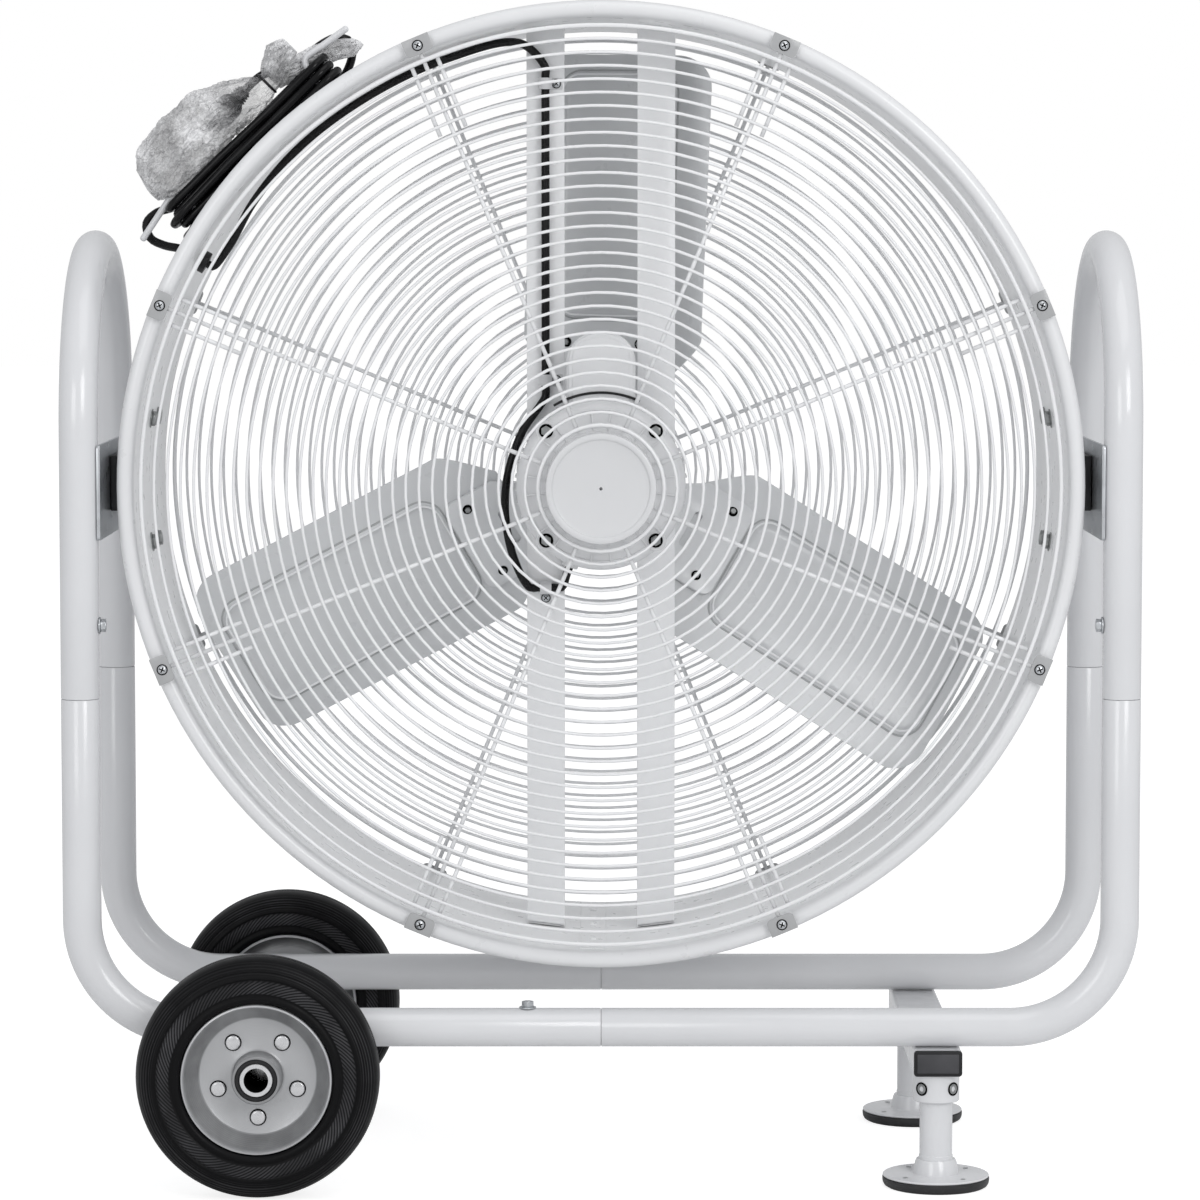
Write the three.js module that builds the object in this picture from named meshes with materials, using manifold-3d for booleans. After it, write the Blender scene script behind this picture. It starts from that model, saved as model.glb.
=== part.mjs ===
// A drum fan on a wheeled tube frame: a 36 inch blade in a steel drum that tilts between two arched posts.
// Millimetres, +Z up, X to the right seen from the air outlet, Y away from it, origin on the floor under the middle.
import * as THREE from "three";
import { mergeVertices } from "three/addons/utils/BufferGeometryUtils.js";
import Module from "manifold-3d";

const wasm = await Module();
wasm.setup();

// ---- Driving dimensions ----
const fitGap = 0.3; // between pieces that touch
const slideGap = 0.5; // between pieces that move on each other

// Drum
const pivotZ = 726;
const drumRadius = 481; // inside of the wall
const drumWall = 1.5;
const drumOuter = drumRadius + drumWall;
const drumDepth = 376;
const beadRadius = 8.75; // rolled edge
const drumSides = 36;

// Tube frame
const tubeRadius = 20;
const tubeWall = 1.5;
const postGap = 56; // from the drum's wall to the centre of a post
const postX = drumRadius + postGap;
const tubeY = 185; // centre of the front and rear tubes
const bottomTubeZ = 166;
const cornerBend = 113; // bend radius of a lower corner, on the centreline
const postJointZ = 508; // where a lower tube slips into an arch
const archBaseZ = 785; // where the half circle of an arch begins
const slipLength = 95; // reduced end of a tube inside the next one
const frameBoltInset = 76; // from the joint's edge to its bolt
const frameBoltRadius = 4;
const frameBoltHead = 7; // half its width across the corners
const frameBoltHeadHeight = 7;
const frameBoltLength = 9; // under the head

// Axle and wheels
const axleX = -352;
const tyreRadius = 125;
const tyreWidth = 60;
const wheelY = 240; // middle of each tyre
const axleRadius = 17.4;
const axleBore = 12.6;
const rimRadius = 77.6;
const rimWall = 2.5;
const rimDiscRadius = 61;
const rimDiscInset = 28; // rim disc behind the tyre's outer face
const rimRivets = 5;
const rimRivetCircle = 42.8;
const rimRivetRadius = 8.3;
const hubRadius = 25;
const bushRadius = 21.7;
const wheelPlay = 1; // side play between the wheel and its collar
const saddleWidth = 28;

// Feet
const footX = 348;
const footRadius = 55.5;
const padHeight = 10;
const footPlate = 2.5;
const bossRadius = 20;
const bossHeight = 16;
const legRadius = 17;
const collarRadius = 24;
const collarHeight = 29;
const crossbarWidth = 50;
const crossbarHeight = 27;
const crossbarWall = 2;
const crossbarOverhang = 24; // past the tube's centre at each end
const capThickness = 4;
const capPlug = 5; // the part of a cap inside the cross bar
const setScrewRadius = 5.5;
const setScrewAngle = THREE.MathUtils.degToRad(43); // either side of straight out
const setScrewLength = 6.5;

// Side pivots
const plateThickness = 3.5;
const plateHeight = 98;
const plateDrop = 5; // centre of the plate under the pivot
const padLength = 194; // friction pad on the plate
const padWidth = 58;
const padThickness = 10;
const pivotBoltRadius = 6;
const pivotBoltHead = 11;
const pivotBoltHeadHeight = 8;
const bracketHeight = 150; // drum bracket
const bracketLength = 90;
const bracketThickness = 3;
const bracketBoltRise = 65.5;
const bracketBoltReach = 32;
const bracketBoltRadius = 4;
const bracketBoltHead = 8;
const bracketBoltHeadHeight = 4;
const bracketBoss = 24;

// Grilles
const grilleInner = 64.7; // radius of the smallest ring
const grilleRings = 31;
const grilleMargin = 8.6; // from the drum's wall in to the largest ring
const ringWire = 1.6;
const edgeWire = 2.3; // the first and last ring
const spokeWire = 2.2;
const spokes = 8;
const shortSpokeSpread = 14; // short wires each side of a spoke at the rim
const shortSpokeLength = 78;
const clipWidth = 29;
const clipDepth = 18;
const clipThickness = 2;

// Struts and motor
const strutX = 58.5;
const strutWidth = 40;
const strutDepth = 20;
const strutWall = 2;
const strutY = -28; // front face
const strutFoot = 34; // foot along the drum's wall
const motorRadius = 88;
const motorLength = 120;
const motorRibs = 12;
const motorScrewSquare = 56.8; // half the square that the four screws stand on
const motorLug = 11;
const capRadius = 57; // the round cap through the middle of the front grille
const capReach = 62;
const boxWidth = 72; // capacitor box on the motor's top
const boxRise = 74;
const boxCrown = 30; // height of its arched top
const boxDepth = 52;

// Rotor
const hubY = 62; // middle of the blades
const shaftRadius = 9.5;
const shaftReach = 28; // behind the hub's middle
const spiderHub = 30;
const spiderHubLength = 44;
const tipClearance = 29; // from the blade's tip to the drum's wall
const bladeTip = drumRadius - tipClearance;
const bladeRoot = 126;
const bladeCount = 3;
const bladeTurn = THREE.MathUtils.degToRad(88.7);
const bladeLead = 88; // across the blade, each side of its midline, as seen from the front
const bladeTrail = 102;
const bladePitch = THREE.MathUtils.degToRad(25);
const bladeCamber = 14;
const bladeCorner = 34;
const bladeThickness = 2;
const armThickness = 5;
const armRoot = 24;
const armRootHalf = 22;
const armNeck = 64; // where the arm begins to widen
const armNeckHalf = 30;
const armCorner = 12;
const armShoulder = 60; // length of its wide end
const armEnd = 166;
const armHalfWidth = 58;
const bladeRivetReach = 143;
const bladeRivetSpread = 43;
const bladeRivetRadius = 5;
const armSlotLength = 46;
const armSlotWidth = 20;
const armSlotReach = 112;

// Cable and cord
const cableRadius = 5.75; // from the gland to the motor, inside the drum
const cordRadius = 4.5; // supply cord outside
const cordLineY = -65; // gland, hooks and hank stand on this line across the drum
const glandAngle = THREE.MathUtils.degToRad(151);
const glandRadius = 11;
const glandNeck = 8;
const glandReach = 16; // outside the wall
const glandNut = 7; // inside the wall
const hookRadius = 2.75;
const hookStand = 58.5; // of the hook's arm, off the drum
const hookReach = drumOuter + hookStand; // from the drum's axis to the hook's arm
const hookBend = 8;
const hookAngles = [THREE.MathUtils.degToRad(125.3), THREE.MathUtils.degToRad(146.1)];
const hookArm = 56;
const hookFoot = 8; // radius of its welded foot
const hankTurns = 6;
const hankLayers = 4;
const hankStep = 9.9; // from strand to strand, sideways and up
const clipBand = 2; // band of a cable clip
const clipHalf = 6; // half its length along the cable
const clipTab = 26; // across the strut
const clipScrew = 3.5;
const clipScrewHead = 3;
const plugRadius = 14;
const plugLength = 44;
const plugPinSpread = 6.35;
const plugPinLength = 17;
const wrapRadius = 29; // the padded lump round the plug, on the hank's own axes
const wrapMiddle = -24;
const wrapHalf = 78;
const wrapSteps = 6;
const wrapNeckAt = 60; // where it is drawn in round the cord
const wrapNeck = 11;
const wrapMouthAt = 86; // where its open end flares
const wrapMouth = 17;
const wrapEnd = 104;

// ---- Geometry helpers ----
const drumAxis = new THREE.Vector3(0, 1, 0);
const V = (x, y, z) => new THREE.Vector3(x, y, z);

// A closed geometry as a manifold solid, turned so that its faces point out.
function solid(geometry) {
  let plain = geometry.clone();
  plain.deleteAttribute("normal");
  plain.deleteAttribute("uv");
  plain = mergeVertices(plain, 1e-3);
  const at = plain.getAttribute("position");
  const index = Array.from(plain.index.array);
  const corner = [V(), V(), V()];
  const kept = [];
  let volume = 0;
  for (let i = 0; i < index.length; i += 3) {
    const [a, b, c] = index.slice(i, i + 3);
    if (a === b || b === c || c === a) continue;
    [a, b, c].forEach((k, n) => corner[n].fromBufferAttribute(at, k));
    volume += corner[0].dot(corner[1].clone().cross(corner[2]));
    kept.push(a, b, c);
  }
  if (volume < 0) kept.reverse();
  const triVerts = new Uint32Array(kept);
  return new wasm.Manifold(new wasm.Mesh({ numProp: 3, vertProperties: at.array, triVerts }));
}

function geometryOf(manifold) {
  const mesh = manifold.getMesh();
  const geometry = new THREE.BufferGeometry();
  geometry.setAttribute("position", new THREE.BufferAttribute(mesh.vertProperties, 3));
  geometry.setIndex(new THREE.BufferAttribute(mesh.triVerts, 1));
  return geometry;
}

const join = (...parts) => geometryOf(parts.map(solid).reduce((a, b) => a.add(b)));
const cut = (body, ...tools) => geometryOf(tools.map(solid).reduce((a, b) => a.subtract(b), solid(body)));
const common = (a, b) => geometryOf(solid(a).intersect(solid(b)));
const moved = (geometry, x, y, z) => geometry.clone().translate(x, y, z);

// Turned about the drum's axis by an angle measured from +X towards +Z, then lifted to the pivot.
const aroundDrum = (geometry, angle) => geometry.clone().rotateY(-angle).translate(0, 0, pivotZ);
const mirrorX = (geometry) => geometryOf(solid(geometry.clone().scale(-1, 1, 1)));
const mirrorY = (geometry) => geometryOf(solid(geometry.clone().scale(1, -1, 1)));

function box(x0, x1, y0, y1, z0, z1) {
  return new THREE.BoxGeometry(x1 - x0, y1 - y0, z1 - z0).translate((x0 + x1) / 2, (y0 + y1) / 2, (z0 + z1) / 2);
}

// A cylinder between two points.
function rod(from, to, radius, sides = 12, endRadius = radius) {
  const along = to.clone().sub(from);
  const turn = new THREE.Quaternion().setFromUnitVectors(drumAxis, along.clone().normalize());
  return new THREE.CylinderGeometry(endRadius, radius, along.length(), sides)
    .applyQuaternion(turn)
    .translate(...from.clone().add(to).multiplyScalar(0.5).toArray());
}

// A solid of revolution about +Y; each point of the profile is [radius, y].
function turned(profile, sides) {
  const points = profile.map(([r, y]) => new THREE.Vector2(Math.max(r, 0), y));
  return new THREE.LatheGeometry(points, sides);
}

const closedTurned = (profile, sides) => turned([...profile, profile[0]], sides);
const ringOf = (inner, outer, y0, y1, sides) =>
  closedTurned([[inner, y0], [outer, y0], [outer, y1], [inner, y1]], sides);

// A path that is sampled only at the given stations, so straight runs get no rings.
class Stations extends THREE.Curve {
  constructor(points) {
    super();
    this.points = points;
  }
  getPoint(t) {
    return this.points[Math.round(t * (this.points.length - 1))].clone();
  }
  getPointAt(u) {
    return this.getPoint(u);
  }
  getTangentAt(u) {
    const last = this.points.length - 1;
    const i = Math.round(u * last);
    const before = this.points[Math.max(i - 1, 0)];
    const after = this.points[Math.min(i + 1, last)];
    const here = this.points[i];
    const arrive = i > 0 ? here.clone().sub(before).normalize() : V();
    const leave = i < last ? after.clone().sub(here).normalize() : V();
    return arrive.add(leave).normalize();
  }
}

const circle = (radius) => new THREE.Shape().absarc(0, 0, radius, 0, 2 * Math.PI, false);

function sweep(points, radius, sides) {
  // a full circle is drawn with twice the given number of curve segments
  const options = { steps: points.length - 1, curveSegments: sides / 2, extrudePath: new Stations(points) };
  return new THREE.ExtrudeGeometry(circle(radius), options);
}

// An upright plate: an outline in the XZ plane, thick along Y from y0 to y1.
function plateXZ(shape, y0, y1, curveSegments = 6) {
  const geometry = new THREE.ExtrudeGeometry(shape, { depth: y1 - y0, bevelEnabled: false, curveSegments });
  return geometry.rotateX(Math.PI / 2).translate(0, y1, 0);
}

// ---- Materials ----
const paint = (colour, roughness = 0.4, metalness = 0.1) =>
  new THREE.MeshStandardMaterial({ color: colour, roughness, metalness });
const lightGrey = () => paint(0xd3d5da);
const white = () => paint(0xe9eaec, 0.35);
const zinc = () => paint(0xaab0b6, 0.35, 0.9);
const steel = () => paint(0xc0c2c4, 0.3, 0.95);
const black = () => paint(0x1b1c1e, 0.6, 0);
const rubber = () => paint(0x232427, 0.85, 0);

const fan = new THREE.Group();
const groups = {};
function groupFor(body) {
  if (!groups[body]) {
    groups[body] = new THREE.Group();
    fan.add(groups[body]);
  }
  return groups[body];
}

function addPiece(body, name, geometry, material) {
  const mesh = new THREE.Mesh(geometryOf(solid(geometry)), material);
  mesh.name = name;
  groupFor(body).add(mesh);
  return mesh;
}

// ---- Tube frame ----
const tubeBore = tubeRadius - tubeWall;
const slipRadius = tubeBore - fitGap;
const slipBore = slipRadius - tubeWall;
const tubeSides = 10;
const tubeFlat = tubeRadius * Math.cos(Math.PI / tubeSides); // from a tube's centre to a facet
const bendSteps = 4;
const archSteps = 10;
const past = 5; // how far a cutting tool runs past the face it opens
const boltSides = 6;
const boltHole = (frameBoltRadius + fitGap) / Math.cos(Math.PI / boltSides); // clear of the shank at any turn

// Stations of a lower corner tube, from the middle of the bottom to the top of its post.
function cornerPath(inner, top) {
  const points = [V(inner, 0, bottomTubeZ)];
  const centreX = postX - cornerBend;
  const centreZ = bottomTubeZ + cornerBend;
  for (let i = 0; i <= bendSteps; i++) {
    const angle = -Math.PI / 2 + (Math.PI / 2) * (i / bendSteps);
    points.push(V(centreX + cornerBend * Math.cos(angle), 0, centreZ + cornerBend * Math.sin(angle)));
  }
  points.push(V(postX, 0, top));
  return points;
}

// The front tube of the +X side; slipEnd says whether its inner end slips into the other side's tube.
function cornerTube(slipEnd) {
  const outer = [sweep(cornerPath(slipEnd ? fitGap : 0, postJointZ), tubeRadius, tubeSides)];
  const inner = [sweep(cornerPath(slipEnd ? 2 * past : -past, postJointZ - 2 * past), tubeBore, tubeSides)];
  const upTo = (z) => V(postX, 0, z);
  outer.push(rod(upTo(postJointZ - past), upTo(postJointZ + slipLength), slipRadius, tubeSides));
  inner.push(rod(upTo(postJointZ - 3 * past), upTo(postJointZ + slipLength + past), slipBore, tubeSides));
  if (slipEnd) {
    const inTo = (x) => V(x, 0, bottomTubeZ);
    outer.push(rod(inTo(past), inTo(-slipLength), slipRadius, tubeSides));
    inner.push(rod(inTo(3 * past), inTo(-slipLength - past), slipBore, tubeSides));
  }
  const postBoltZ = postJointZ + frameBoltInset;
  const holes = [rod(V(postX, 0, postBoltZ), V(postX - tubeRadius, 0, postBoltZ), boltHole, boltSides)];
  const lowBoltX = slipEnd ? -frameBoltInset : frameBoltInset;
  const lowHole = [V(lowBoltX, 0, bottomTubeZ), V(lowBoltX, 0, bottomTubeZ + 2 * tubeRadius)];
  holes.push(rod(...lowHole, boltHole, boltSides));
  return cut(join(...outer), join(...inner), ...holes);
}

const slipTube = cornerTube(true);
const socketTube = mirrorX(cornerTube(false));
addPiece("frame", "lower_tube_front_right", moved(slipTube, 0, -tubeY, 0), lightGrey());
addPiece("frame", "lower_tube_rear_right", moved(slipTube, 0, tubeY, 0), lightGrey());
addPiece("frame", "lower_tube_front_left", moved(socketTube, 0, -tubeY, 0), lightGrey());
addPiece("frame", "lower_tube_rear_left", moved(socketTube, 0, tubeY, 0), lightGrey());

function archPath(foot) {
  const points = [V(postX, -tubeY, foot)];
  for (let i = 0; i <= archSteps; i++) {
    const angle = Math.PI * (i / archSteps);
    points.push(V(postX, -tubeY * Math.cos(angle), archBaseZ + tubeY * Math.sin(angle)));
  }
  points.push(V(postX, tubeY, foot));
  return points;
}

function archTube() {
  const outer = sweep(archPath(postJointZ + fitGap), tubeRadius, tubeSides);
  const inner = sweep(archPath(postJointZ - past), tubeBore, tubeSides);
  const boltZ = postJointZ + frameBoltInset;
  const holes = [-tubeY, tubeY].map((y) =>
    rod(V(postX, y, boltZ), V(postX - 2 * tubeRadius, y, boltZ), boltHole, boltSides),
  );
  return cut(outer, inner, ...holes);
}

addPiece("frame", "arch_tube_right", archTube(), lightGrey());
addPiece("frame", "arch_tube_left", mirrorX(archTube()), lightGrey());

// A hexagon bolt whose head stands on a tube, its shank through both walls; it points down -Z from the origin.
function frameBolt() {
  const head = rod(V(0, 0, 0), V(0, 0, frameBoltHeadHeight), frameBoltHead, 6);
  return join(head, rod(V(0, 0, 1), V(0, 0, -frameBoltLength), frameBoltRadius, boltSides));
}

for (const [place, y] of [["front", -tubeY], ["rear", tubeY]]) {
  const low = frameBolt().translate(-frameBoltInset, y, bottomTubeZ + tubeRadius + fitGap);
  addPiece("frame", `frame_bolt_${place}`, low, zinc());
  const side = frameBolt().rotateY(-Math.PI / 2).translate(postX - tubeFlat - fitGap, y, 0);
  side.translate(0, 0, postJointZ + frameBoltInset);
  addPiece("frame", `post_bolt_${place}_right`, side, zinc());
  addPiece("frame", `post_bolt_${place}_left`, mirrorX(side), zinc());
}

// ---- Side pivots ----
const plateOuterX = postX - tubeFlat - fitGap;
const plateInnerX = plateOuterX - plateThickness;
const padInnerX = plateInnerX - fitGap - padThickness;
const plateZ = pivotZ - plateDrop;

function pivotPlate() {
  const body = box(
    plateInnerX, plateOuterX, -tubeY - tubeRadius / 2, tubeY + tubeRadius / 2,
    plateZ - plateHeight / 2, plateZ + plateHeight / 2,
  );
  const bore = rod(V(plateInnerX - past, 0, pivotZ), V(plateOuterX + past, 0, pivotZ), pivotBoltRadius + fitGap, 12);
  return cut(body, bore);
}

function pivotPad() {
  const body = box(
    padInnerX, padInnerX + padThickness, -padLength / 2, padLength / 2,
    pivotZ - padWidth / 2, pivotZ + padWidth / 2,
  );
  return cut(body, rod(V(padInnerX - past, 0, pivotZ), V(plateInnerX, 0, pivotZ), pivotBoltRadius + fitGap, 12));
}

const bracketFaceX = padInnerX - slideGap;
const bracketBoltX = Math.sqrt(drumRadius ** 2 - bracketBoltRise ** 2);

// The bracket on the drum's side: a plate that follows the wall, a boss for the pivot bolt, and four bolts.
function drumBracket() {
  const block = box(
    drumOuter - 40, drumOuter + 10, -bracketLength / 2, bracketLength / 2,
    -bracketHeight / 2, bracketHeight / 2,
  );
  const inner = drumOuter + fitGap;
  const sleeve = ringOf(inner, inner + bracketThickness, -bracketLength, bracketLength, drumSides);
  const parts = [common(block, sleeve)];
  parts.push(rod(V(inner + 0.5, 0, 0), V(bracketFaceX, 0, 0), bracketBoss, 12));
  for (const y of [-bracketBoltReach, bracketBoltReach]) {
    for (const z of [-bracketBoltRise, bracketBoltRise]) {
      const out = V(bracketBoltX, 0, z).normalize();
      const at = (r) => out.clone().multiplyScalar(r).setY(y);
      const apothem = drumRadius * Math.cos(Math.PI / drumSides) - fitGap;
      parts.push(rod(at(apothem - bracketBoltHeadHeight), at(inner + bracketThickness / 2), bracketBoltRadius, 6));
      parts.push(rod(at(apothem - bracketBoltHeadHeight), at(apothem), bracketBoltHead, 6));
    }
  }
  const bore = rod(V(inner - past, 0, 0), V(bracketFaceX + past, 0, 0), pivotBoltRadius + slideGap, 12);
  return cut(join(...parts), bore).translate(0, 0, pivotZ);
}

function pivotBolt() {
  const head = rod(
    V(plateOuterX + fitGap, 0, pivotZ), V(plateOuterX + fitGap + pivotBoltHeadHeight, 0, pivotZ), pivotBoltHead, 6,
  );
  return join(head, rod(V(drumOuter + 4, 0, pivotZ), V(plateOuterX + 2, 0, pivotZ), pivotBoltRadius, 10));
}

for (const [side, hand] of [["right", (g) => g], ["left", mirrorX]]) {
  addPiece("frame", `pivot_plate_${side}`, hand(pivotPlate()), zinc());
  addPiece("frame", `pivot_bolt_${side}`, hand(pivotBolt()), zinc());
  addPiece("frame", `pivot_pad_${side}`, hand(pivotPad()), rubber());
  addPiece("drum", `drum_bracket_${side}`, hand(drumBracket()), zinc());
}

// ---- Axle and wheels ----
const tyreFaceY = wheelY + tyreWidth / 2;
const axleZ = tyreRadius;
const wheelInnerY = wheelY - tyreWidth / 2;

function axle() {
  const pipe = ringOf(axleBore, axleRadius, -tyreFaceY, tyreFaceY, 16);
  const parts = [pipe];
  for (const y of [-1, 1]) {
    const stop = y * (wheelInnerY - wheelPlay);
    parts.push(rod(V(0, stop, 0), V(0, stop - 4 * y, 0), axleRadius + 6, 12));
    const tube = rod(V(-100, y * tubeY, bottomTubeZ - axleZ), V(100, y * tubeY, bottomTubeZ - axleZ),
      (tubeRadius + fitGap) / Math.cos(Math.PI / 12), 12);
    const top = bottomTubeZ - axleZ - tubeRadius * 0.55;
    const seat = box(-saddleWidth / 2, saddleWidth / 2, y * tubeY - 15, y * tubeY + 15, axleRadius * 0.7, top);
    parts.push(cut(seat, tube));
  }
  const bore = rod(V(0, -tyreFaceY - past, 0), V(0, tyreFaceY + past, 0), axleBore, 16);
  return cut(join(...parts), bore).translate(axleX, 0, axleZ);
}
addPiece("frame", "wheel_axle", axle(), steel());

const wheelSides = 20;

// Wheels are drawn about +Y with the outer face towards -Y, its middle at the origin.
function tyre() {
  const half = tyreWidth / 2;
  const seat = rimRadius + fitGap;
  const profile = [
    [seat, -half + 6], [seat + 6, -half], [tyreRadius - 20, -half], [tyreRadius, -half + 14],
    [tyreRadius, half - 14], [tyreRadius - 20, half], [seat + 6, half], [seat, half - 6],
  ];
  return closedTurned(profile, wheelSides);
}

// A pressed rim: a barrel under the tyre, a dished disc with its rivets, and the hub sleeve.
function rim() {
  const half = tyreWidth / 2;
  const disc = -half + rimDiscInset;
  const inside = rimRadius - rimWall;
  const bore = bushRadius + fitGap;
  const profile = [
    [rimRadius, -half + 4], [rimRadius, half - 4], [inside, half - 4], [inside, disc - 4], [rimDiscRadius, disc + rimWall],
    [hubRadius, disc + rimWall], [hubRadius, half], [bore, half], [bore, -half], [hubRadius, -half],
    [hubRadius, disc], [rimDiscRadius, disc], [inside, disc - 8], [inside, -half + 4],
  ];
  const parts = [closedTurned(profile, wheelSides)];
  for (let i = 0; i < rimRivets; i++) {
    const angle = -Math.PI / 2 + (2 * Math.PI * i) / rimRivets;
    const x = rimRivetCircle * Math.cos(angle);
    const z = rimRivetCircle * Math.sin(angle);
    parts.push(rod(V(x, disc + 1, z), V(x, disc - 4, z), rimRivetRadius, 6, rimRivetRadius * 0.6));
  }
  return join(...parts);
}

const bush = () => ringOf(axleRadius + slideGap, bushRadius, -tyreWidth / 2, tyreWidth / 2, 16);

for (const [place, hand, y] of [["front", (g) => g, -wheelY], ["rear", mirrorY, wheelY]]) {
  const body = `wheel_${place}`;
  const stand = (geometry) => hand(geometry).translate(axleX, y, axleZ);
  addPiece(body, `wheel_tyre_${place}`, stand(tyre()), rubber());
  addPiece(body, `wheel_rim_${place}`, stand(rim()), lightGrey());
  addPiece(body, `wheel_bush_${place}`, stand(bush()), black());
}

// ---- Feet and their cross bar ----
const crossbarTop = bottomTubeZ - tubeRadius - fitGap;
const crossbarBottom = crossbarTop - crossbarHeight;
const crossbarEnd = tubeY + crossbarOverhang;
const collarBottom = crossbarBottom - collarHeight;
const legTop = crossbarTop - crossbarWall - fitGap;

function crossbar() {
  const half = crossbarWidth / 2;
  const outer = box(-half, half, -crossbarEnd, crossbarEnd, crossbarBottom, crossbarTop);
  const wall = crossbarWall;
  const hollow = box(
    -half + wall, half - wall, -crossbarEnd - past, crossbarEnd + past, crossbarBottom + wall, crossbarTop - wall,
  );
  const collars = [];
  const bores = [];
  const screwHoles = [];
  for (const y of [-tubeY, tubeY]) {
    collars.push(rod(V(0, y, collarBottom), V(0, y, crossbarBottom + wall / 2), collarRadius, 16));
    bores.push(rod(V(0, y, collarBottom - past), V(0, y, crossbarTop - wall - 1), legRadius + slideGap, 16));
    for (const turn of [-setScrewAngle, setScrewAngle]) {
      screwHoles.push(screwRod(y, turn, 0, collarRadius + past, setScrewRadius + fitGap));
    }
  }
  return cut(join(cut(outer, hollow), ...collars), ...bores, ...screwHoles).translate(footX, 0, 0);
}

// A rod square to a leg, pointing out of the collar at an angle from straight out.
function screwRod(y, turn, from, to, radius) {
  const out = V(Math.sin(turn), Math.sign(y) * Math.cos(turn), 0);
  const at = (r) => out.clone().multiplyScalar(r).add(V(0, y, (collarBottom + crossbarBottom) / 2));
  return rod(at(from), at(to), radius, 8);
}

addPiece("frame", "foot_crossbar", crossbar(), lightGrey());

for (const [place, y] of [["front", -tubeY], ["rear", tubeY]]) {
  const way = Math.sign(y);
  const half = crossbarWidth / 2;
  const flange = box(-half, half, 0, capThickness, crossbarBottom, crossbarTop);
  const plug = box(
    -half + crossbarWall + fitGap, half - crossbarWall - fitGap, -capPlug, 1,
    crossbarBottom + crossbarWall + fitGap, crossbarTop - crossbarWall - fitGap,
  );
  const cap = join(flange, plug).translate(0, crossbarEnd + fitGap, 0);
  addPiece("frame", `crossbar_cap_${place}`, (way < 0 ? mirrorY(cap) : cap).translate(footX, 0, 0), black());
  for (const [hand, turn] of [["left", -setScrewAngle], ["right", setScrewAngle]]) {
    const tip = legRadius + fitGap;
    const screw = screwRod(y, turn, tip, tip + setScrewLength, setScrewRadius);
    const socket = screwRod(y, turn, tip + setScrewLength / 2, collarRadius + past, setScrewRadius / 2);
    addPiece("frame", `set_screw_${place}_${hand}`, cut(screw, socket).translate(footX, 0, 0), steel());
  }
  const body = `foot_${place}`;
  const plateZ0 = padHeight + fitGap;
  const plateZ1 = plateZ0 + footPlate;
  const leg = turned([
    [0, plateZ0], [footRadius - 0.5, plateZ0], [footRadius - 0.5, plateZ1], [bossRadius + 3, plateZ1],
    [bossRadius, plateZ1 + bossHeight], [legRadius, plateZ1 + bossHeight], [legRadius, legTop], [0, legTop],
  ], 16).rotateX(Math.PI / 2);
  addPiece(body, `foot_leg_${place}`, leg.translate(footX, y, 0), lightGrey());
  const pad = turned([[0, 0], [footRadius - 2, 0], [footRadius, 2], [footRadius, padHeight], [0, padHeight]], 20);
  addPiece(body, `foot_pad_${place}`, pad.rotateX(Math.PI / 2).translate(footX, y, 0), rubber());
}

// ---- Drum ----
const beadCentre = drumOuter + beadRadius - drumWall;
const beadY = drumDepth / 2 - beadRadius;
const wallFaceRadius = drumRadius * Math.cos(Math.PI / drumSides); // middle of a facet

function beadRing(y) {
  const profile = [];
  const points = 5;
  for (let i = 0; i < points; i++) {
    const angle = Math.PI + (2 * Math.PI * i) / points;
    profile.push([beadCentre + beadRadius * Math.cos(angle), y - beadRadius * Math.sin(angle)]);
  }
  return closedTurned(profile.reverse(), drumSides);
}

const glandOut = V(Math.cos(glandAngle), 0, Math.sin(glandAngle));
const onGlandLine = (r) => glandOut.clone().multiplyScalar(r).setY(cordLineY);

function drumShell() {
  const wall = ringOf(drumRadius, drumOuter, -beadY - 2, beadY + 2, drumSides);
  const holes = [rod(onGlandLine(drumRadius - 20), onGlandLine(drumOuter + 20), glandNeck + fitGap, 12)];
  for (const way of [-1, 1]) {
    for (const y of [-bracketBoltReach, bracketBoltReach]) {
      for (const z of [-bracketBoltRise, bracketBoltRise]) {
        const out = V(way * bracketBoltX, 0, z).normalize();
        const at = (r) => out.clone().multiplyScalar(r).setY(y);
        holes.push(rod(at(drumRadius - 9), at(drumOuter + 9), bracketBoltRadius + 2 * fitGap, 6));
      }
    }
  }
  return cut(join(wall, beadRing(-beadY), beadRing(beadY)), ...holes).translate(0, 0, pivotZ);
}
addPiece("drum", "drum_shell", drumShell(), white());

// ---- Grilles ----
const grilleOuter = drumRadius - grilleMargin;
const grillePitch = (grilleOuter - grilleInner) / (grilleRings - 1);
const spokeLift = 0.5; // how far most spokes stand behind the rings between the first and the last
const spokeY = drumDepth / 2 + fitGap + spokeWire + spokeLift; // spokes lie on the drum's edge
const ringY = spokeY + spokeWire + ringWire * 0.9; // rings lie on the spokes, outwards
const fewestSides = 8; // of a ring
const spokeStart = grilleInner * Math.cos(Math.PI / fewestSides) - edgeWire;

function grilleRing(radius, wire, y, mostSides) {
  const profile = [];
  for (let i = 0; i < 3; i++) {
    const angle = Math.PI / 2 + (2 * Math.PI * i) / 3;
    profile.push([radius + wire * Math.cos(angle), -y + wire * Math.sin(angle)]);
  }
  const sides = THREE.MathUtils.clamp(2 * Math.round(radius / 60), fewestSides, mostSides);
  return closedTurned(profile, sides);
}

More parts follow.
